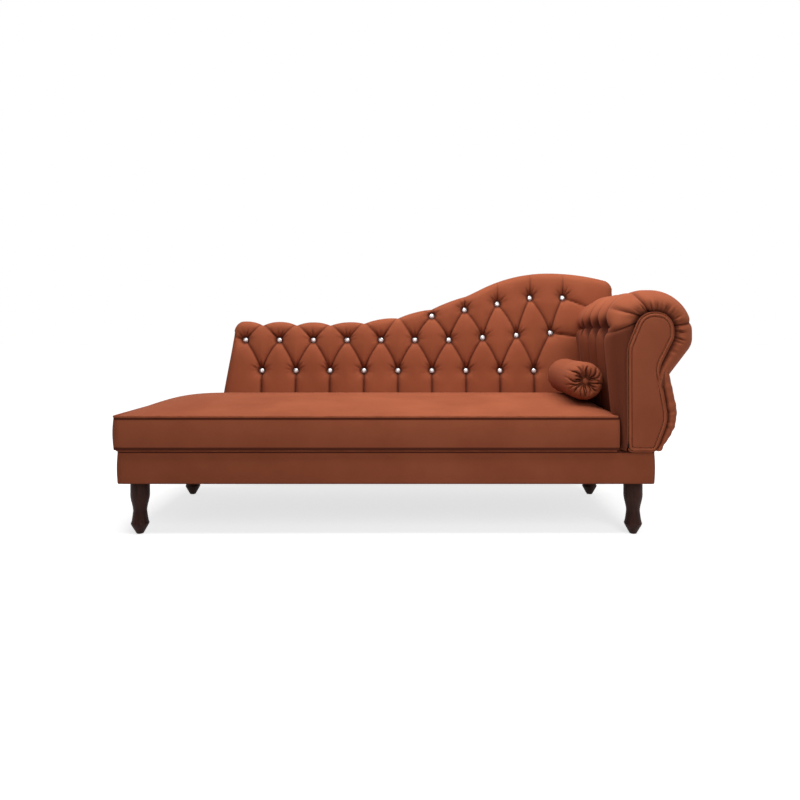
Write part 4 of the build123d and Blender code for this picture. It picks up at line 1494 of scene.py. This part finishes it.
    def build(self) -> None:
        """Make the front, the border, the rear panel and the buttons."""
        columns = self.columns()
        turn = np.linspace(0, math.pi / 2, 13)
        rows = np.concatenate([np.linspace(0, 0.935, 112)[:-1], 0.935 + 0.065 * np.sin(turn)])
        x, height = self.sheet(columns, rows, 1.0)
        rim = self.rim_distance(x, height)
        flat = np.column_stack([x.ravel(), height.ravel()])
        drawn, fold = self.tufting(flat)
        inward = np.clip(1 - rim / self.edge_round, 0, 1)
        depth = self.side + (self.thickness - self.side) * np.sqrt(1 - inward**2)
        depth = depth + self.puff * ease(rim / self.puff_run)
        depth = depth - drawn * (0.30 + 0.70 * ease(rim / self.edge_round))
        numbers = np.arange(len(flat)).reshape(x.shape)
        edge = np.concatenate([numbers[:-1, 0], numbers[-1, :], numbers[-2::-1, -1]])
        plain_x, plain_height = self.sheet(columns, rows, 0.0)
        plain, wavy = np.column_stack([plain_x.ravel(), plain_height.ravel()])[edge], flat[edge]
        points, folds, faces = [self.at(flat, depth)], [fold], grid_faces(*x.shape)
        previous, count = edge, len(flat)
        for level in (0.985, 0.94, 0.85, 0.70, 0.5, 0.3, 0.14, 0.05, 0.015, 0.0):
            points.append(self.at(plain + (wavy - plain) * ease(level), depth[edge] * level))
            folds.append(fold[edge] * level**2 * 0.8)
            fresh = count + np.arange(len(edge))
            faces += band_faces(previous, fresh)
            previous, count = fresh, count + len(edge)
        points.append(self.at(flat[numbers[0]], np.zeros(len(columns))))
        folds.append(np.zeros(len(columns)))
        faces += band_faces(numbers[0], count + np.arange(len(columns)))
        pad = make_piece("back_tufting", np.vstack(points), faces)
        # The cloth darkens by these fold values as painted shade
        mark_painted_shade(pad, np.concatenate(folds) * 0.85)
        outward(pad)
        dress(pad, Slot.CLOTH, Body.SOFA, "back_tufted_cover", "back_border", "back_foam", fill=0.75)
        self.build_rear()
        self.build_buttons()

    def build_rear(self) -> None:
        """The plain cloth panel behind, drawn tight, with piping round its edge."""
        columns, rows = np.linspace(0, 1, 160), np.linspace(0, 1, 60)
        x, height = self.sheet(columns, rows, 0.0)
        rim = self.rim_distance(x, height)
        inset = 0.0045
        x = np.clip(x, x[:, :1] + inset, x[:, -1:] - inset)
        height = np.minimum(height, np.maximum(height[-1] - inset, self.foot))
        points = self.at(np.column_stack([x.ravel(), height.ravel()]), 0.0015 - 0.0030 * ease(rim / 0.02))
        faces = [tuple(reversed(face)) for face in grid_faces(len(rows), len(columns))]
        panel = make_piece("back_rear_panel", points, faces)
        thick = panel.modifiers.new("cloth", "SOLIDIFY")
        thick.thickness = 0.0025
        thick.offset = -1.0
        flatten(panel)
        dress(panel, Slot.CLOTH, Body.SOFA, "back_rear_cover")
        x, height = self.sheet(self.columns()[::3], np.linspace(0, 1, 40), 0.0)
        sides = (np.s_[:-1, 0], np.s_[-1], np.s_[-2::-1, -1])
        edge = np.vstack([np.column_stack([x[s], height[s]]) for s in sides])
        pipe("back_rear_piping", self.at(edge, np.full(len(edge), 0.002)), self.rear_welt)

    def build_buttons(self) -> None:
        """Set a metal cup and a cut crystal in each dimple."""
        bed = self.thickness - self.dimple - self.button_height
        at = self.at(self.spots, np.full(len(self.spots), bed + 0.002))
        facing = np.tile(self.front, (len(at), 1))
        outline = [(0.72, 0.0), (0.97, 0.25), (1.0, 0.42), (0.98, 0.62), (0.88, 0.66), (0.82, 0.5), (0.8, 0.3)]
        cup = lathe("cup_model", outline, 20)
        set_buttons("button_cups", at, facing, cup, self.button, Slot.BUTTON, Body.SOFA, "tuft_button_cups")
        crystals = set_buttons(
            "button_crystals", at, facing, self.stone(), self.crystal, Slot.CRYSTAL, Body.SOFA, "tuft_crystals"
        )
        crystals.data.shade_flat()

    @staticmethod
    def stone() -> Piece:
        """A round brilliant of radius 1, its girdle low in the cup.

        Returns:
            The stone.
        """
        rings = [(0.45, 0.28, 0.0), (0.98, 0.50, 0.0), (1.0, 0.60, 0.0), (0.80, 0.86, 0.5), (0.46, 1.06, 0.0)]
        sides = 12
        points = []
        for radius, height, shift in rings:
            turn = (np.arange(sides) + shift) * 2 * math.pi / sides
            points.append(np.column_stack([radius * np.cos(turn), radius * np.sin(turn), np.full(sides, height)]))
        faces = []
        for a, b, c, d in grid_faces(len(rings), sides, wrap=True):
            faces += [(a, b, c), (a, c, d)]
        faces += [tuple(reversed(range(sides))), tuple(range(4 * sides, 5 * sides))]
        piece = make_piece("stone_model", np.vstack(points), faces)
        outward(piece)
        return piece


# Half outlines of the two cloth-covered buttons at radius 1, as radius and height
COVERED_BUTTON = [(0.9, 0.0), (1.0, 0.12), (0.95, 0.3), (0.75, 0.46), (0.42, 0.55), (0.1, 0.58)]
BOLSTER_BUTTON = [(0.9, 0.0), (1.0, 0.14), (0.95, 0.32), (0.74, 0.48), (0.4, 0.57), (0.1, 0.6)]


@dataclass
class ScrollArm:
    """The scroll arm: channelled roll, outer belly, flat facing and double piping."""

    facing_thickness: float = 0.012
    facing_edge: tuple[Pair, ...] = ((0.0, 0.004), (0.0008, 0.0016), (0.0028, 0.0))
    # Painted shade over the whole facing
    facing_painted_shade: float = 0.12
    facing_puff: float = 0.005
    voxel: float = 0.004
    pressure: float = 3.0
    cap: float = 0.006
    welt: float = 0.0042
    front_round: float = 0.066
    lip: float = 0.42
    lip_turn: float = 140.0
    # Painted shade on the inner side below the tufts
    nap_and_painted_shade: float = 0.48
    tuft_first: float = 0.122
    tuft_pitch: float = 0.100
    tufts: int = 4
    tuft_height: float = 0.672
    dimple: float = 0.030
    dimple_width: float = 0.030
    pucker: float = 0.0014
    row_depth: float = 0.013
    row_width: float = 0.026
    row_crease: float = 0.009
    button: float = 0.009
    channel: Pair = (0.014, 0.017)
    channel_width: float = 0.0075
    valley: Pair = (0.020, 0.018)
    valley_width: float = 0.034
    channel_lean: float = 0.22
    channel_sway: float = 0.004
    puff: float = 0.006
    tuck: float = 0.030
    tuck_run: float = 0.10
    front_pleats: tuple[tuple[Pair, float, float], ...] = (
        ((0.737, 0.786), 0.011, 0.10),
        ((0.925, 0.690), 0.009, 0.09),
        ((0.668, 0.735), 0.009, 0.07),
        ((0.648, 0.655), 0.009, 0.17),
    )
    front_ripples: tuple[float, ...] = (0.047, 0.029, 0.019)
    front_ripple: float = 0.0016
    belly_pinch: Pair = (0.030, 0.140)
    belly_ripples: tuple[float, ...] = (0.041, 0.027)
    belly_ripple: float = 0.0010

    def __post_init__(self) -> None:
        """Take the arm's place from the frame."""
        self.base_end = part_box("base_band_front")[1].x
        self.front = CAD_BOX[0].y
        self.tuft_y = [self.front + self.tuft_first + self.tuft_pitch * k for k in range(self.tufts)]
        reach = CAD_BOX[1].x - self.base_end
        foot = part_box("arm_roll_cover")[0].z
        self.facing_corners: list[Corner] = [
            (-0.0910, foot, 0.016), (-0.0915, 0.605, 0.070), (-0.046, 0.714, 0.052), (0.048, 0.714, 0.052),
            (0.048, 0.639, 0.040), (0.001, 0.544, 0.070), (0.0295, 0.379, 0.110), (-0.007, foot, 0.016),
            (-0.060, foot, 0.0),
        ]
        self.roll_corners: list[Corner] = [
            (-0.112, foot, 0.004), (-0.134, 0.488, 0.200), (-0.164, 0.786, 0.125), (reach, 0.786, 0.130),
            (reach, 0.617, 0.060), (0.050, 0.522, 0.008), (0.083, 0.370, 0.130), (0.021, foot, 0.004),
            (-0.040, foot, 0.0),
        ]

    def corners(self, share: float) -> list[Corner]:
        """Corners of the outline between the facing and the full roll.

        Args:
            share: 0 at the facing, 1 at the roll.

        Returns:
            Corner places and roundings.
        """
        blend = []
        for inner, outer in zip(self.facing_corners, self.roll_corners):
            x, z, radius = (a + (b - a) * share for a, b in zip(inner, outer))
            blend.append((self.base_end + x, z, radius))
        return blend

    def section(self, share: float, first: int, last: int) -> np.ndarray:
        """Part of the outline, between two of its corners, as (x, z)."""
        return rounded(self.corners(share)[first : last + 1], 34, 26)

    def stations(self) -> tuple[np.ndarray, np.ndarray, np.ndarray]:
        """Sections of the arm, from the rim behind the facing over its round front to the rear.

        Returns:
            How far each section has opened out, its depth in the round front, and its share of the straight run.
        """
        turn = np.radians(np.linspace(self.lip_turn, 0, 32))
        straight = np.linspace(0, 1, 110)[1:]
        open_ = np.concatenate([self.lip + (1 - self.lip) * np.cos(turn), np.ones(len(straight))])
        depth = np.concatenate([self.front_round * (1 - np.sin(turn)), np.full(len(straight), self.front_round)])
        return open_, depth, np.concatenate([np.zeros(len(turn)), straight])

    def loft(self, first: int, last: int, back: TuftedBack) -> tuple[np.ndarray, ...]:
        """Sections of the arm from front to rear, between two corners of its outline.

        Args:
            first: First corner.
            last: Last corner.
            back: The back, which the arm runs up to.

        Returns:
            Points as stations by outline by axis, and for each of them the distance along the roll's
            outline, the distance behind the front, and how far its section has opened out.
        """
        open_, depth, straight = self.stations()
        full = self.section(1.0, first, last)
        foot = back.origin + back.front * back.thickness
        rear = foot[1] + (full[:, 1] - foot[2]) * back.up[1] / back.up[2] + 0.002
        along = depth[:, None] + straight[:, None] * (rear - self.front - self.front_round)
        points = np.empty((*along.shape, 3))
        for k, share in enumerate(open_):
            ring = self.section(float(share), first, last)
            points[k] = np.column_stack([ring[:, 0], self.front + 0.001 + along[k], ring[:, 1]])
        here = np.broadcast_to(distances(full), along.shape)
        return points, here, along, np.broadcast_to(open_[:, None], along.shape)

    @staticmethod
    def drawn_in(points: np.ndarray, depth: np.ndarray) -> np.ndarray:
        """Move the points of a lofted sheet inwards.

        Args:
            points: Points as stations by outline by axis.
            depth: How far each point moves.

        Returns:
            The moved points.
        """
        across = np.cross(np.gradient(points, axis=1), np.gradient(points, axis=0))
        normals = across / np.maximum(np.linalg.norm(across, axis=2, keepdims=True), 1e-12)
        return points - normals * depth[:, :, None]

    def build(self, back: TuftedBack) -> None:
        """Make the arm's pieces.

        Args:
            back: The back, which the arm runs up to.
        """
        self.build_roll(back)
        self.build_belly(back)
        self.build_facing()

    def build_roll(self, back: TuftedBack) -> None:
        """The inner pad and roll, with channels, tufts and gathers round the facing.

        Args:
            back: The back, which the roll runs up to.
        """
        points, here, along, open_ = self.loft(0, 5, back)
        full = self.section(1.0, 0, 5)
        inner = np.argmin(np.abs(full[:, 1] - self.tuft_height) + 9.0 * (full[:, 0] > self.base_end - 0.02))
        above = here - here[:, inner : inner + 1]
        over = np.clip(above / (here[:, -1:] - here[:, inner : inner + 1]), 0, 1)
        y = points[:, :, 1]
        drawn, valley, fold = self.channels(y, here, above, over)
        settled = ease((along - 0.012) / 0.05)
        drawn = np.maximum(drawn, self.row_crease * bell(np.abs(above), 0.007, 1.3))
        # Painted shade along the row of tufts and, below, wherever the cloth is drawn deep
        fold = np.maximum(fold, 0.8 * bell(above, 0.0045))
        tucked = self.tuck * ease((y - self.tuft_y[-1]) / self.tuck_run) * (1 - over) ** 2
        drawn = drawn + valley + self.row_depth * bell(above, self.row_width)
        fold = np.maximum(fold, ease((drawn - self.puff) / 0.022)) * settled
        drawn = (drawn - self.puff) * settled + tucked
        # Painted shade on the inner side below the tufts, darker still near the front
        fold = np.maximum(fold, self.nap_and_painted_shade * (1.65 - 0.65 * settled) * ease(0.25 - above / 0.05))
        drawn, fold = self.front_gathers(full, here, along, open_, drawn, fold)
        roll = closed_rings("arm_roll", self.drawn_in(points, drawn), fold * 0.92)
        dress(roll, Slot.CLOTH, Body.SOFA, "arm_roll_cover", "arm_roll_foam", fill=0.8)
        self.build_tuft_buttons(full, inner)

    def channels(
        self, y: np.ndarray, here: np.ndarray, above: np.ndarray, over: np.ndarray
    ) -> tuple[np.ndarray, np.ndarray, np.ndarray]:
        """The channels that run up the inner pad, through the tufts and over the roll.

        Args:
            y: Place across of each point.
            here: Distance along the roll's outline.
            above: Distance along it past the tufts.
            over: The same as a share of the way over the roll.

        Returns:
            How far the cloth is drawn in, how deep the broad valleys are, and how deep in a fold it lies.
        """
        drawn, valley, fold = np.zeros((3, *y.shape))
        below = above < 0
        fading = np.clip(1.15 * (1 - over), 0, 1) ** 1.3
        depth, broad = (np.where(below, low, high * fading) for low, high in (self.channel, self.valley))
        lean = self.channel_lean * np.maximum(above, 0) * (over < 0.5)
        for k, spot in enumerate(self.tuft_y):
            away = np.abs(y - spot - lean - self.channel_sway * np.sin(here * 9.0 + k))
            drawn = np.maximum(drawn, depth * bell(away, self.channel_width, 1.3))
            valley = np.maximum(valley, broad * bell(away, self.valley_width, 1.8))
            # Painted shade in each channel and dimple
            fold = np.maximum(fold, bell(away, self.channel_width) * np.where(below, 1.0, fading))
            far = np.hypot(y - spot, above)
            drawn = np.maximum(drawn, self.dimple * bell(far, self.dimple_width, 1.6))
            fold = np.maximum(fold, bell(far, 0.017, 4))
            turn = np.arctan2(above, y - spot)
            drawn += self.pucker * np.cos(11 * turn + k) * bell(far - 0.028, 0.012)
        return drawn, valley, fold

    def front_gathers(
        self,
        full: np.ndarray,
        here: np.ndarray,
        along: np.ndarray,
        open_: np.ndarray,
        drawn: np.ndarray,
        fold: np.ndarray,
    ) -> tuple[np.ndarray, np.ndarray]:
        """Add the pleats and gathers where the roll is drawn in round the facing.

        Args:
            full: The roll's outline.
            here: Distances along it.
            along: Distances behind the front.
            open_: How far the sections have opened out.
            drawn: How far the cloth is drawn in so far.
            fold: How deep in a fold it lies so far.

        Returns:
            The new depths and folds.
        """
        for (x, z), depth, reach in self.front_pleats:
            at = here[0, np.argmin(np.hypot(full[:, 0] - x, full[:, 1] - z))]
            fade = np.clip(1 - along / reach, 0, 1) ** 0.7
            away = np.abs(here - at)
            drawn = drawn + depth * fade * bell(away, 0.008, 1.4)
            fold = np.maximum(fold, 0.9 * fade * bell(away, 0.005))
        noise = np.random.default_rng(SEED + 3)
        near = bell(open_ - 0.3, 0.2) * ease((here - 0.40) / 0.08) * ease((here[0, -1] - here) / 0.12)
        ripple = np.zeros(along.shape)
        for size in self.front_ripples:
            ripple += np.cos(2 * math.pi * here / size + noise.uniform(0, PHASE) + 1.5 * np.sin(here * 23.0))
        shaded = np.maximum(0.95 * ease((0.36 - open_) / 0.26), 0.7 * near * ease(ripple - 0.5))
        return drawn + self.front_ripple * ripple * near, np.maximum(fold, shaded)

    def build_tuft_buttons(self, full: np.ndarray, inner: int) -> None:
        """Covered buttons at the bottom of the arm's dimples.

        Args:
            full: The roll's outline.
            inner: Point of the outline at the tufts' height.
        """
        tangent = full[inner + 1] - full[inner - 1]
        out = np.array([-tangent[1], 0.0, tangent[0]])
        out /= np.linalg.norm(out)
        x, z = full[inner]
        spots = np.array([[x, y, z] for y in self.tuft_y]) - out * (self.dimple + self.row_depth + 0.004)
        model = lathe("covered_model", COVERED_BUTTON, 24)
        facing = np.tile(out, (self.tufts, 1))
        set_buttons(
            "arm_buttons", spots, facing, model, self.button, Slot.CLOTH, Body.SOFA, "arm_tuft_buttons"
        )

    def build_belly(self, back: TuftedBack) -> None:
        """The rounded pad on the outside, below the roll.

        Args:
            back: The back, which the pad runs up to.
        """
        points, here, along, open_ = self.loft(5, 8, back)
        end = here[0, -1]
        pinch = np.hypot(along - self.belly_pinch[0], here - self.belly_pinch[1])
        drawn = 0.004 * bell(pinch, 0.012) - 0.003 * np.sin(np.pi * here / end) * ease(along / 0.08)
        noise = np.random.default_rng(SEED + 5)
        near = bell(along, 0.028) * ease(here / 0.05) * ease((end - here) / 0.05)
        ripple = sum(np.cos(2 * math.pi * here / size + noise.uniform(0, PHASE)) for size in self.belly_ripples)
        # Painted shade along the edge by the facing and in the pinch
        seam_shade = 0.9 * ease((0.34 - open_) / 0.22)
        points = self.drawn_in(points, drawn + self.belly_ripple * ripple * near)
        belly = closed_rings("arm_belly", points, np.maximum(seam_shade, 0.6 * bell(pinch, 0.008)))
        dress(belly, Slot.CLOTH, Body.SOFA, "arm_belly_cover", "arm_belly_foam", fill=0.8)

    def outline(self, inset: float) -> np.ndarray:
        """The facing's closed outline.

        Args:
            inset: How far it is drawn in.

        Returns:
            Points around, as (x, z).
        """
        corners = self.corners(0.0)[:8]
        middle = ((corners[0][0] + corners[-1][0]) / 2, corners[0][1], 0.0)
        ring = even_ring(rounded([middle, *corners, middle], 16, 14)[:-1], 260)
        run = np.roll(ring, -1, axis=0) - np.roll(ring, 1, axis=0)
        run /= np.linalg.norm(run, axis=1, keepdims=True)
        return ring + inset * np.column_stack([run[:, 1], -run[:, 0]])

    def build_facing(self) -> None:
        """The padded front facing and its double piping."""
        edge = self.outline(2 * self.welt)
        levels = ((0.0, self.facing_thickness), *self.facing_edge)
        rings = [upright(self.outline(2 * self.welt + inset), self.front + y) for inset, y in levels]
        facing = closed_rings("arm_facing_pad", np.stack(rings))
        remesh = facing.modifiers.new("even", "REMESH")
        remesh.mode = "VOXEL"
        remesh.voxel_size = self.voxel
        flatten(facing)
        spots = places(facing)
        rim = np.hypot(spots[:, None, 0] - edge[None, ::2, 0], spots[:, None, 2] - edge[None, ::2, 1]).min(axis=1)
        front = spots[:, 1] < self.front + 0.005
        swell(facing, ~front | (rim < 0.006), self.pressure, self.cap)
        facing.data.shade_smooth()
        # Painted shade: the whole facing darkened evenly
        mark_painted_shade(facing, np.full(len(facing.data.vertices), self.facing_painted_shade))
        dress(facing, Slot.CLOTH, Body.SOFA, "arm_facing", fill=0.7)
        inner = upright(self.outline(self.welt), self.front + 0.0035)
        pipe("arm_facing_piping", inner, self.welt, "arm_facing_welt", closed=True)
        outer = upright(self.outline(-self.welt * 0.7), self.front + 0.0105)
        pipe("arm_roll_piping", outer, self.welt * 0.9, closed=True)


@dataclass
class Bolster:
    """The loose round bolster with gathered ends and a covered button in each."""

    end_round: float = 0.026
    button: float = 0.009
    dimple: float = 0.012
    folds: int = 24
    fold_depth: float = 0.011
    fold_swell: float = 0.0035
    side_ripple: float = 0.0030
    slack: float = 0.0012
    gap: float = 0.0008
    sides: int = 216
    pressure: float = 1.6
    cap: float = 0.003

    def profile(self, length: float, radius: float) -> np.ndarray:
        """Half outline from the near button to the far one.

        Args:
            length: Length of the bolster.
            radius: Radius of its side.

        Returns:
            Radius and place along the axis of each ring.
        """
        brow = radius - self.end_round
        near = [(self.button * 0.6, self.dimple), (self.button, self.dimple * 0.95)]
        for share in np.linspace(0.08, 1.0, 16):
            near.append((self.button + (brow - self.button) * share, self.dimple * 0.9 * (1 - ease(share))))
        for turn in np.linspace(0.12, math.pi / 2, 14):
            near.append((brow + self.end_round * math.sin(turn), self.end_round * (1 - math.cos(turn))))
        body = [(radius, y) for y in np.linspace(self.end_round, length - self.end_round, 64)[1:-1]]
        return np.array(near + body + [(r, length - y) for r, y in reversed(near)])

    def pleats(self, angle: np.ndarray, reach: np.ndarray, share: np.ndarray, far_end: np.ndarray) -> np.ndarray:
        """The pleats that gather the two ends in.

        Args:
            angle: Angle of each point about the axis.
            reach: Its distance from the axis.
            share: The same as a share of the way from the button to the side.
            far_end: 1 on the far half, 0 on the near one.

        Returns:
            How deep in a pleat each point lies, from 0 to 1.
        """
        noise = np.random.default_rng(SEED + 9)
        pleat = np.zeros(angle.shape)
        for k in range(self.folds):
            middle = 2 * math.pi * (k + noise.uniform(-0.36, 0.36)) / self.folds
            middle = middle + 0.12 * np.sin(5 * share + k) + 1.1 * far_end
            away = np.abs((angle - middle + math.pi) % (2 * math.pi) - math.pi) * np.maximum(reach, 0.012)
            reached = ease((noise.uniform(0.6, 1.25) - share) / 0.2)
            depth = noise.uniform(0.4, 1.0) * reached
            pleat = np.maximum(pleat, depth * bell(away, noise.uniform(0.0018, 0.0034), 1.3))
        return pleat

    def build(self) -> None:
        """Make the bolster and its buttons where its node lies."""
        low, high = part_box("bolster_cover")
        x, z = (low.x + high.x) / 2, (low.z + high.z) / 2
        radius, length = (high.x - low.x) / 2, high.y - low.y
        outline = self.profile(length, radius)
        turn = np.linspace(0, 2 * math.pi, self.sides, endpoint=False)
        reach, y, angle = np.broadcast_arrays(outline[:, :1], outline[:, 1:], turn)
        from_end = np.minimum(y, length - y)
        far_end = (y > length / 2).astype(float)
        share = (reach - self.button) / (radius - self.button)
        near_end = from_end < self.end_round * 1.05
        strength = np.clip(share * 5.0, 0, 1) * (1 - ease((share - 0.70) / 0.30)) * near_end
        pleat = self.pleats(angle, reach, share, far_end)
        sink = self.fold_depth * pleat * strength - self.fold_swell * (1 - pleat) * strength
        y = y + np.where(far_end > 0.5, -sink, sink)
        side = np.clip((from_end - self.end_round) / 0.06, 0, 1)
        ripple = -self.side_ripple * pleat * (1 - side) ** 2 * np.clip(share * 1.2, 0, 1)
        slack = self.slack * np.sin(2 * angle + 9 * y) * side
        wide = reach + ripple + slack * (reach >= radius - 1e-6) - self.gap
        rings = np.stack([x + wide * np.cos(angle), low.y + y, z + wide * np.sin(angle)], axis=2)
        cover = closed_rings("bolster_roll", rings)
        sewn = ((strength > 0.15) & (pleat > 0.35)) | (reach < self.button * 1.6)
        swell(cover, (sewn | (from_end > self.end_round * 2.2)).ravel(), self.pressure, self.cap)
        # Painted shade in the pleats of the ends and towards each end's centre
        creases = 0.75 * pleat * strength + 0.4 * bell(share, 0.22) * near_end
        mark_painted_shade(cover, np.clip(creases, 0, 0.95).ravel())
        dress(cover, Slot.CLOTH, Body.BOLSTER, "bolster_cover", "bolster_core", fill=0.9)
        sunk = self.dimple - 0.001
        spots = np.array([[x, low.y + sunk, z], [x, high.y - sunk, z]])
        facing = np.array([[0.0, -1.0, 0.0], [0.0, 1.0, 0.0]])
        model = lathe("bolster_button_model", BOLSTER_BUTTON, 24)
        set_buttons(
            "bolster_end_buttons", spots, facing, model, self.button, Slot.CLOTH, Body.BOLSTER, "bolster_buttons"
        )


@dataclass
class HiddenFrame:
    """The rails, posts, straps and fixings that stay as the frame gives them."""

    def build(self) -> None:
        """Give every node of the frame the finish of its slot."""
        for part in frame["record"]["subparts"]:
            node = frame["nodes"][part["node"]]
            node.data.materials.clear()
            node.data.materials.append(MATERIALS[Slot(part["material_slot"])])
            LOG.info("%s: %s", part["node"], part["material_slot"])


@dataclass
class Studio:
    """A white floor, soft lights and the camera."""

    lens: float = 30.9
    sensor: float = 36.0
    eye: Corner = (0.0195, -2.529, 0.656)
    shift: Pair = (-0.0125, -0.085)
    floor: float = 30.0
    floor_glow: Pair = (0.72, 0.9)
    glow_run: Pair = (1.0, 2.6)
    fill_light: float = 0.16

    def build(self) -> None:
        """Make the floor, the lights and the camera."""
        self.build_floor()
        self.build_world()
        self.lamp("top_softbox", (0.25, -0.50, 2.3), (12, 0, 0), (2.8, 1.2), 70.0)
        self.lamp("key_softbox", (1.2, -3.0, 2.2), (55, 0, 18), (1.5, 1.5), 24.0)
        camera = bpy.data.cameras.new("camera")
        camera.lens, camera.sensor_width = self.lens, self.sensor
        camera.shift_x, camera.shift_y = self.shift
        holder = add_object("camera", camera)
        holder.location = self.eye
        holder.rotation_euler = (math.pi / 2, 0.0, 0.0)
        bpy.context.scene.camera = holder
        bpy.context.scene.view_settings.view_transform = "Standard"

    def build_floor(self) -> None:
        """A wide white floor that keeps the shadow."""
        corners = [[-self.floor, -self.floor, 0], [self.floor, -self.floor, 0], [self.floor, self.floor, 0]]
        floor = make_piece("floor", np.array([*corners, [-self.floor, self.floor, 0]]), [(0, 1, 2, 3)])
        sheet = NodeSheet("white_floor")
        paint = sheet.add("ShaderNodeBsdfDiffuse", Color=sheet.ramp(sheet.noise(0.4, 2.0), grey(0.78), grey(0.80)))
        far = sheet.add("ShaderNodeVectorMath", {"operation": "LENGTH"})
        sheet.put(far.inputs[0], sheet.place)
        level = sheet.add(
            "ShaderNodeMapRange",
            Value=far.outputs["Value"],
            From_Min=self.glow_run[0],
            From_Max=self.glow_run[1],
            To_Min=self.floor_glow[0],
            To_Max=self.floor_glow[1],
        )
        strength = sheet.add("ShaderNodeMapRange", Value=sheet.in_sight(), To_Min=0.0, To_Max=level.outputs["Result"])
        glow = sheet.add("ShaderNodeEmission", Strength=strength.outputs["Result"])
        both = sheet.add("ShaderNodeAddShader")
        sheet.put(both.inputs[0], paint.outputs["BSDF"])
        sheet.put(both.inputs[1], glow.outputs["Emission"])
        sheet.add("ShaderNodeOutputMaterial", Surface=both.outputs["Shader"])
        floor.data.materials.append(sheet.material)

    def build_world(self) -> None:
        """Even white light all round, which the camera sees as white."""
        world = bpy.data.worlds.new("studio")
        bpy.context.scene.world = world
        world.use_nodes = True
        world.node_tree.nodes.clear()
        sheet = Wiring(world.node_tree)
        strength = sheet.add("ShaderNodeMapRange", Value=sheet.in_sight(), To_Min=self.fill_light, To_Max=1.0)
        light = sheet.add("ShaderNodeBackground", Color=grey(1.0), Strength=strength.outputs["Result"])
        sheet.add("ShaderNodeOutputWorld", Surface=light.outputs["Background"])

    @staticmethod
    def lamp(name: str, place: Corner, turn: Corner, size: Pair, power: float) -> None:
        """Add a rectangular softbox.

        Args:
            name: The lamp's name.
            place: Where it hangs.
            turn: Its turn in degrees about each axis.
            size: Its two sides.
            power: Its power in watts.
        """
        light = bpy.data.lights.new(name, "AREA")
        light.shape = "RECTANGLE"
        light.size, light.size_y = size
        light.energy = power
        holder = add_object(name, light)
        holder.location = place
        holder.rotation_euler = [math.radians(a) for a in turn]


def main() -> None:
    """Build every sub-assembly in order."""
    logging.basicConfig(level=logging.INFO, format="%(name)s: %(message)s")
    HiddenFrame().build()
    Legs().build()
    Base().build()
    back = TuftedBack()
    Seat().build(back)
    back.build()
    ScrollArm().build(back)
    Bolster().build()
    Studio().build()


if __name__ == "__main__":
    main()
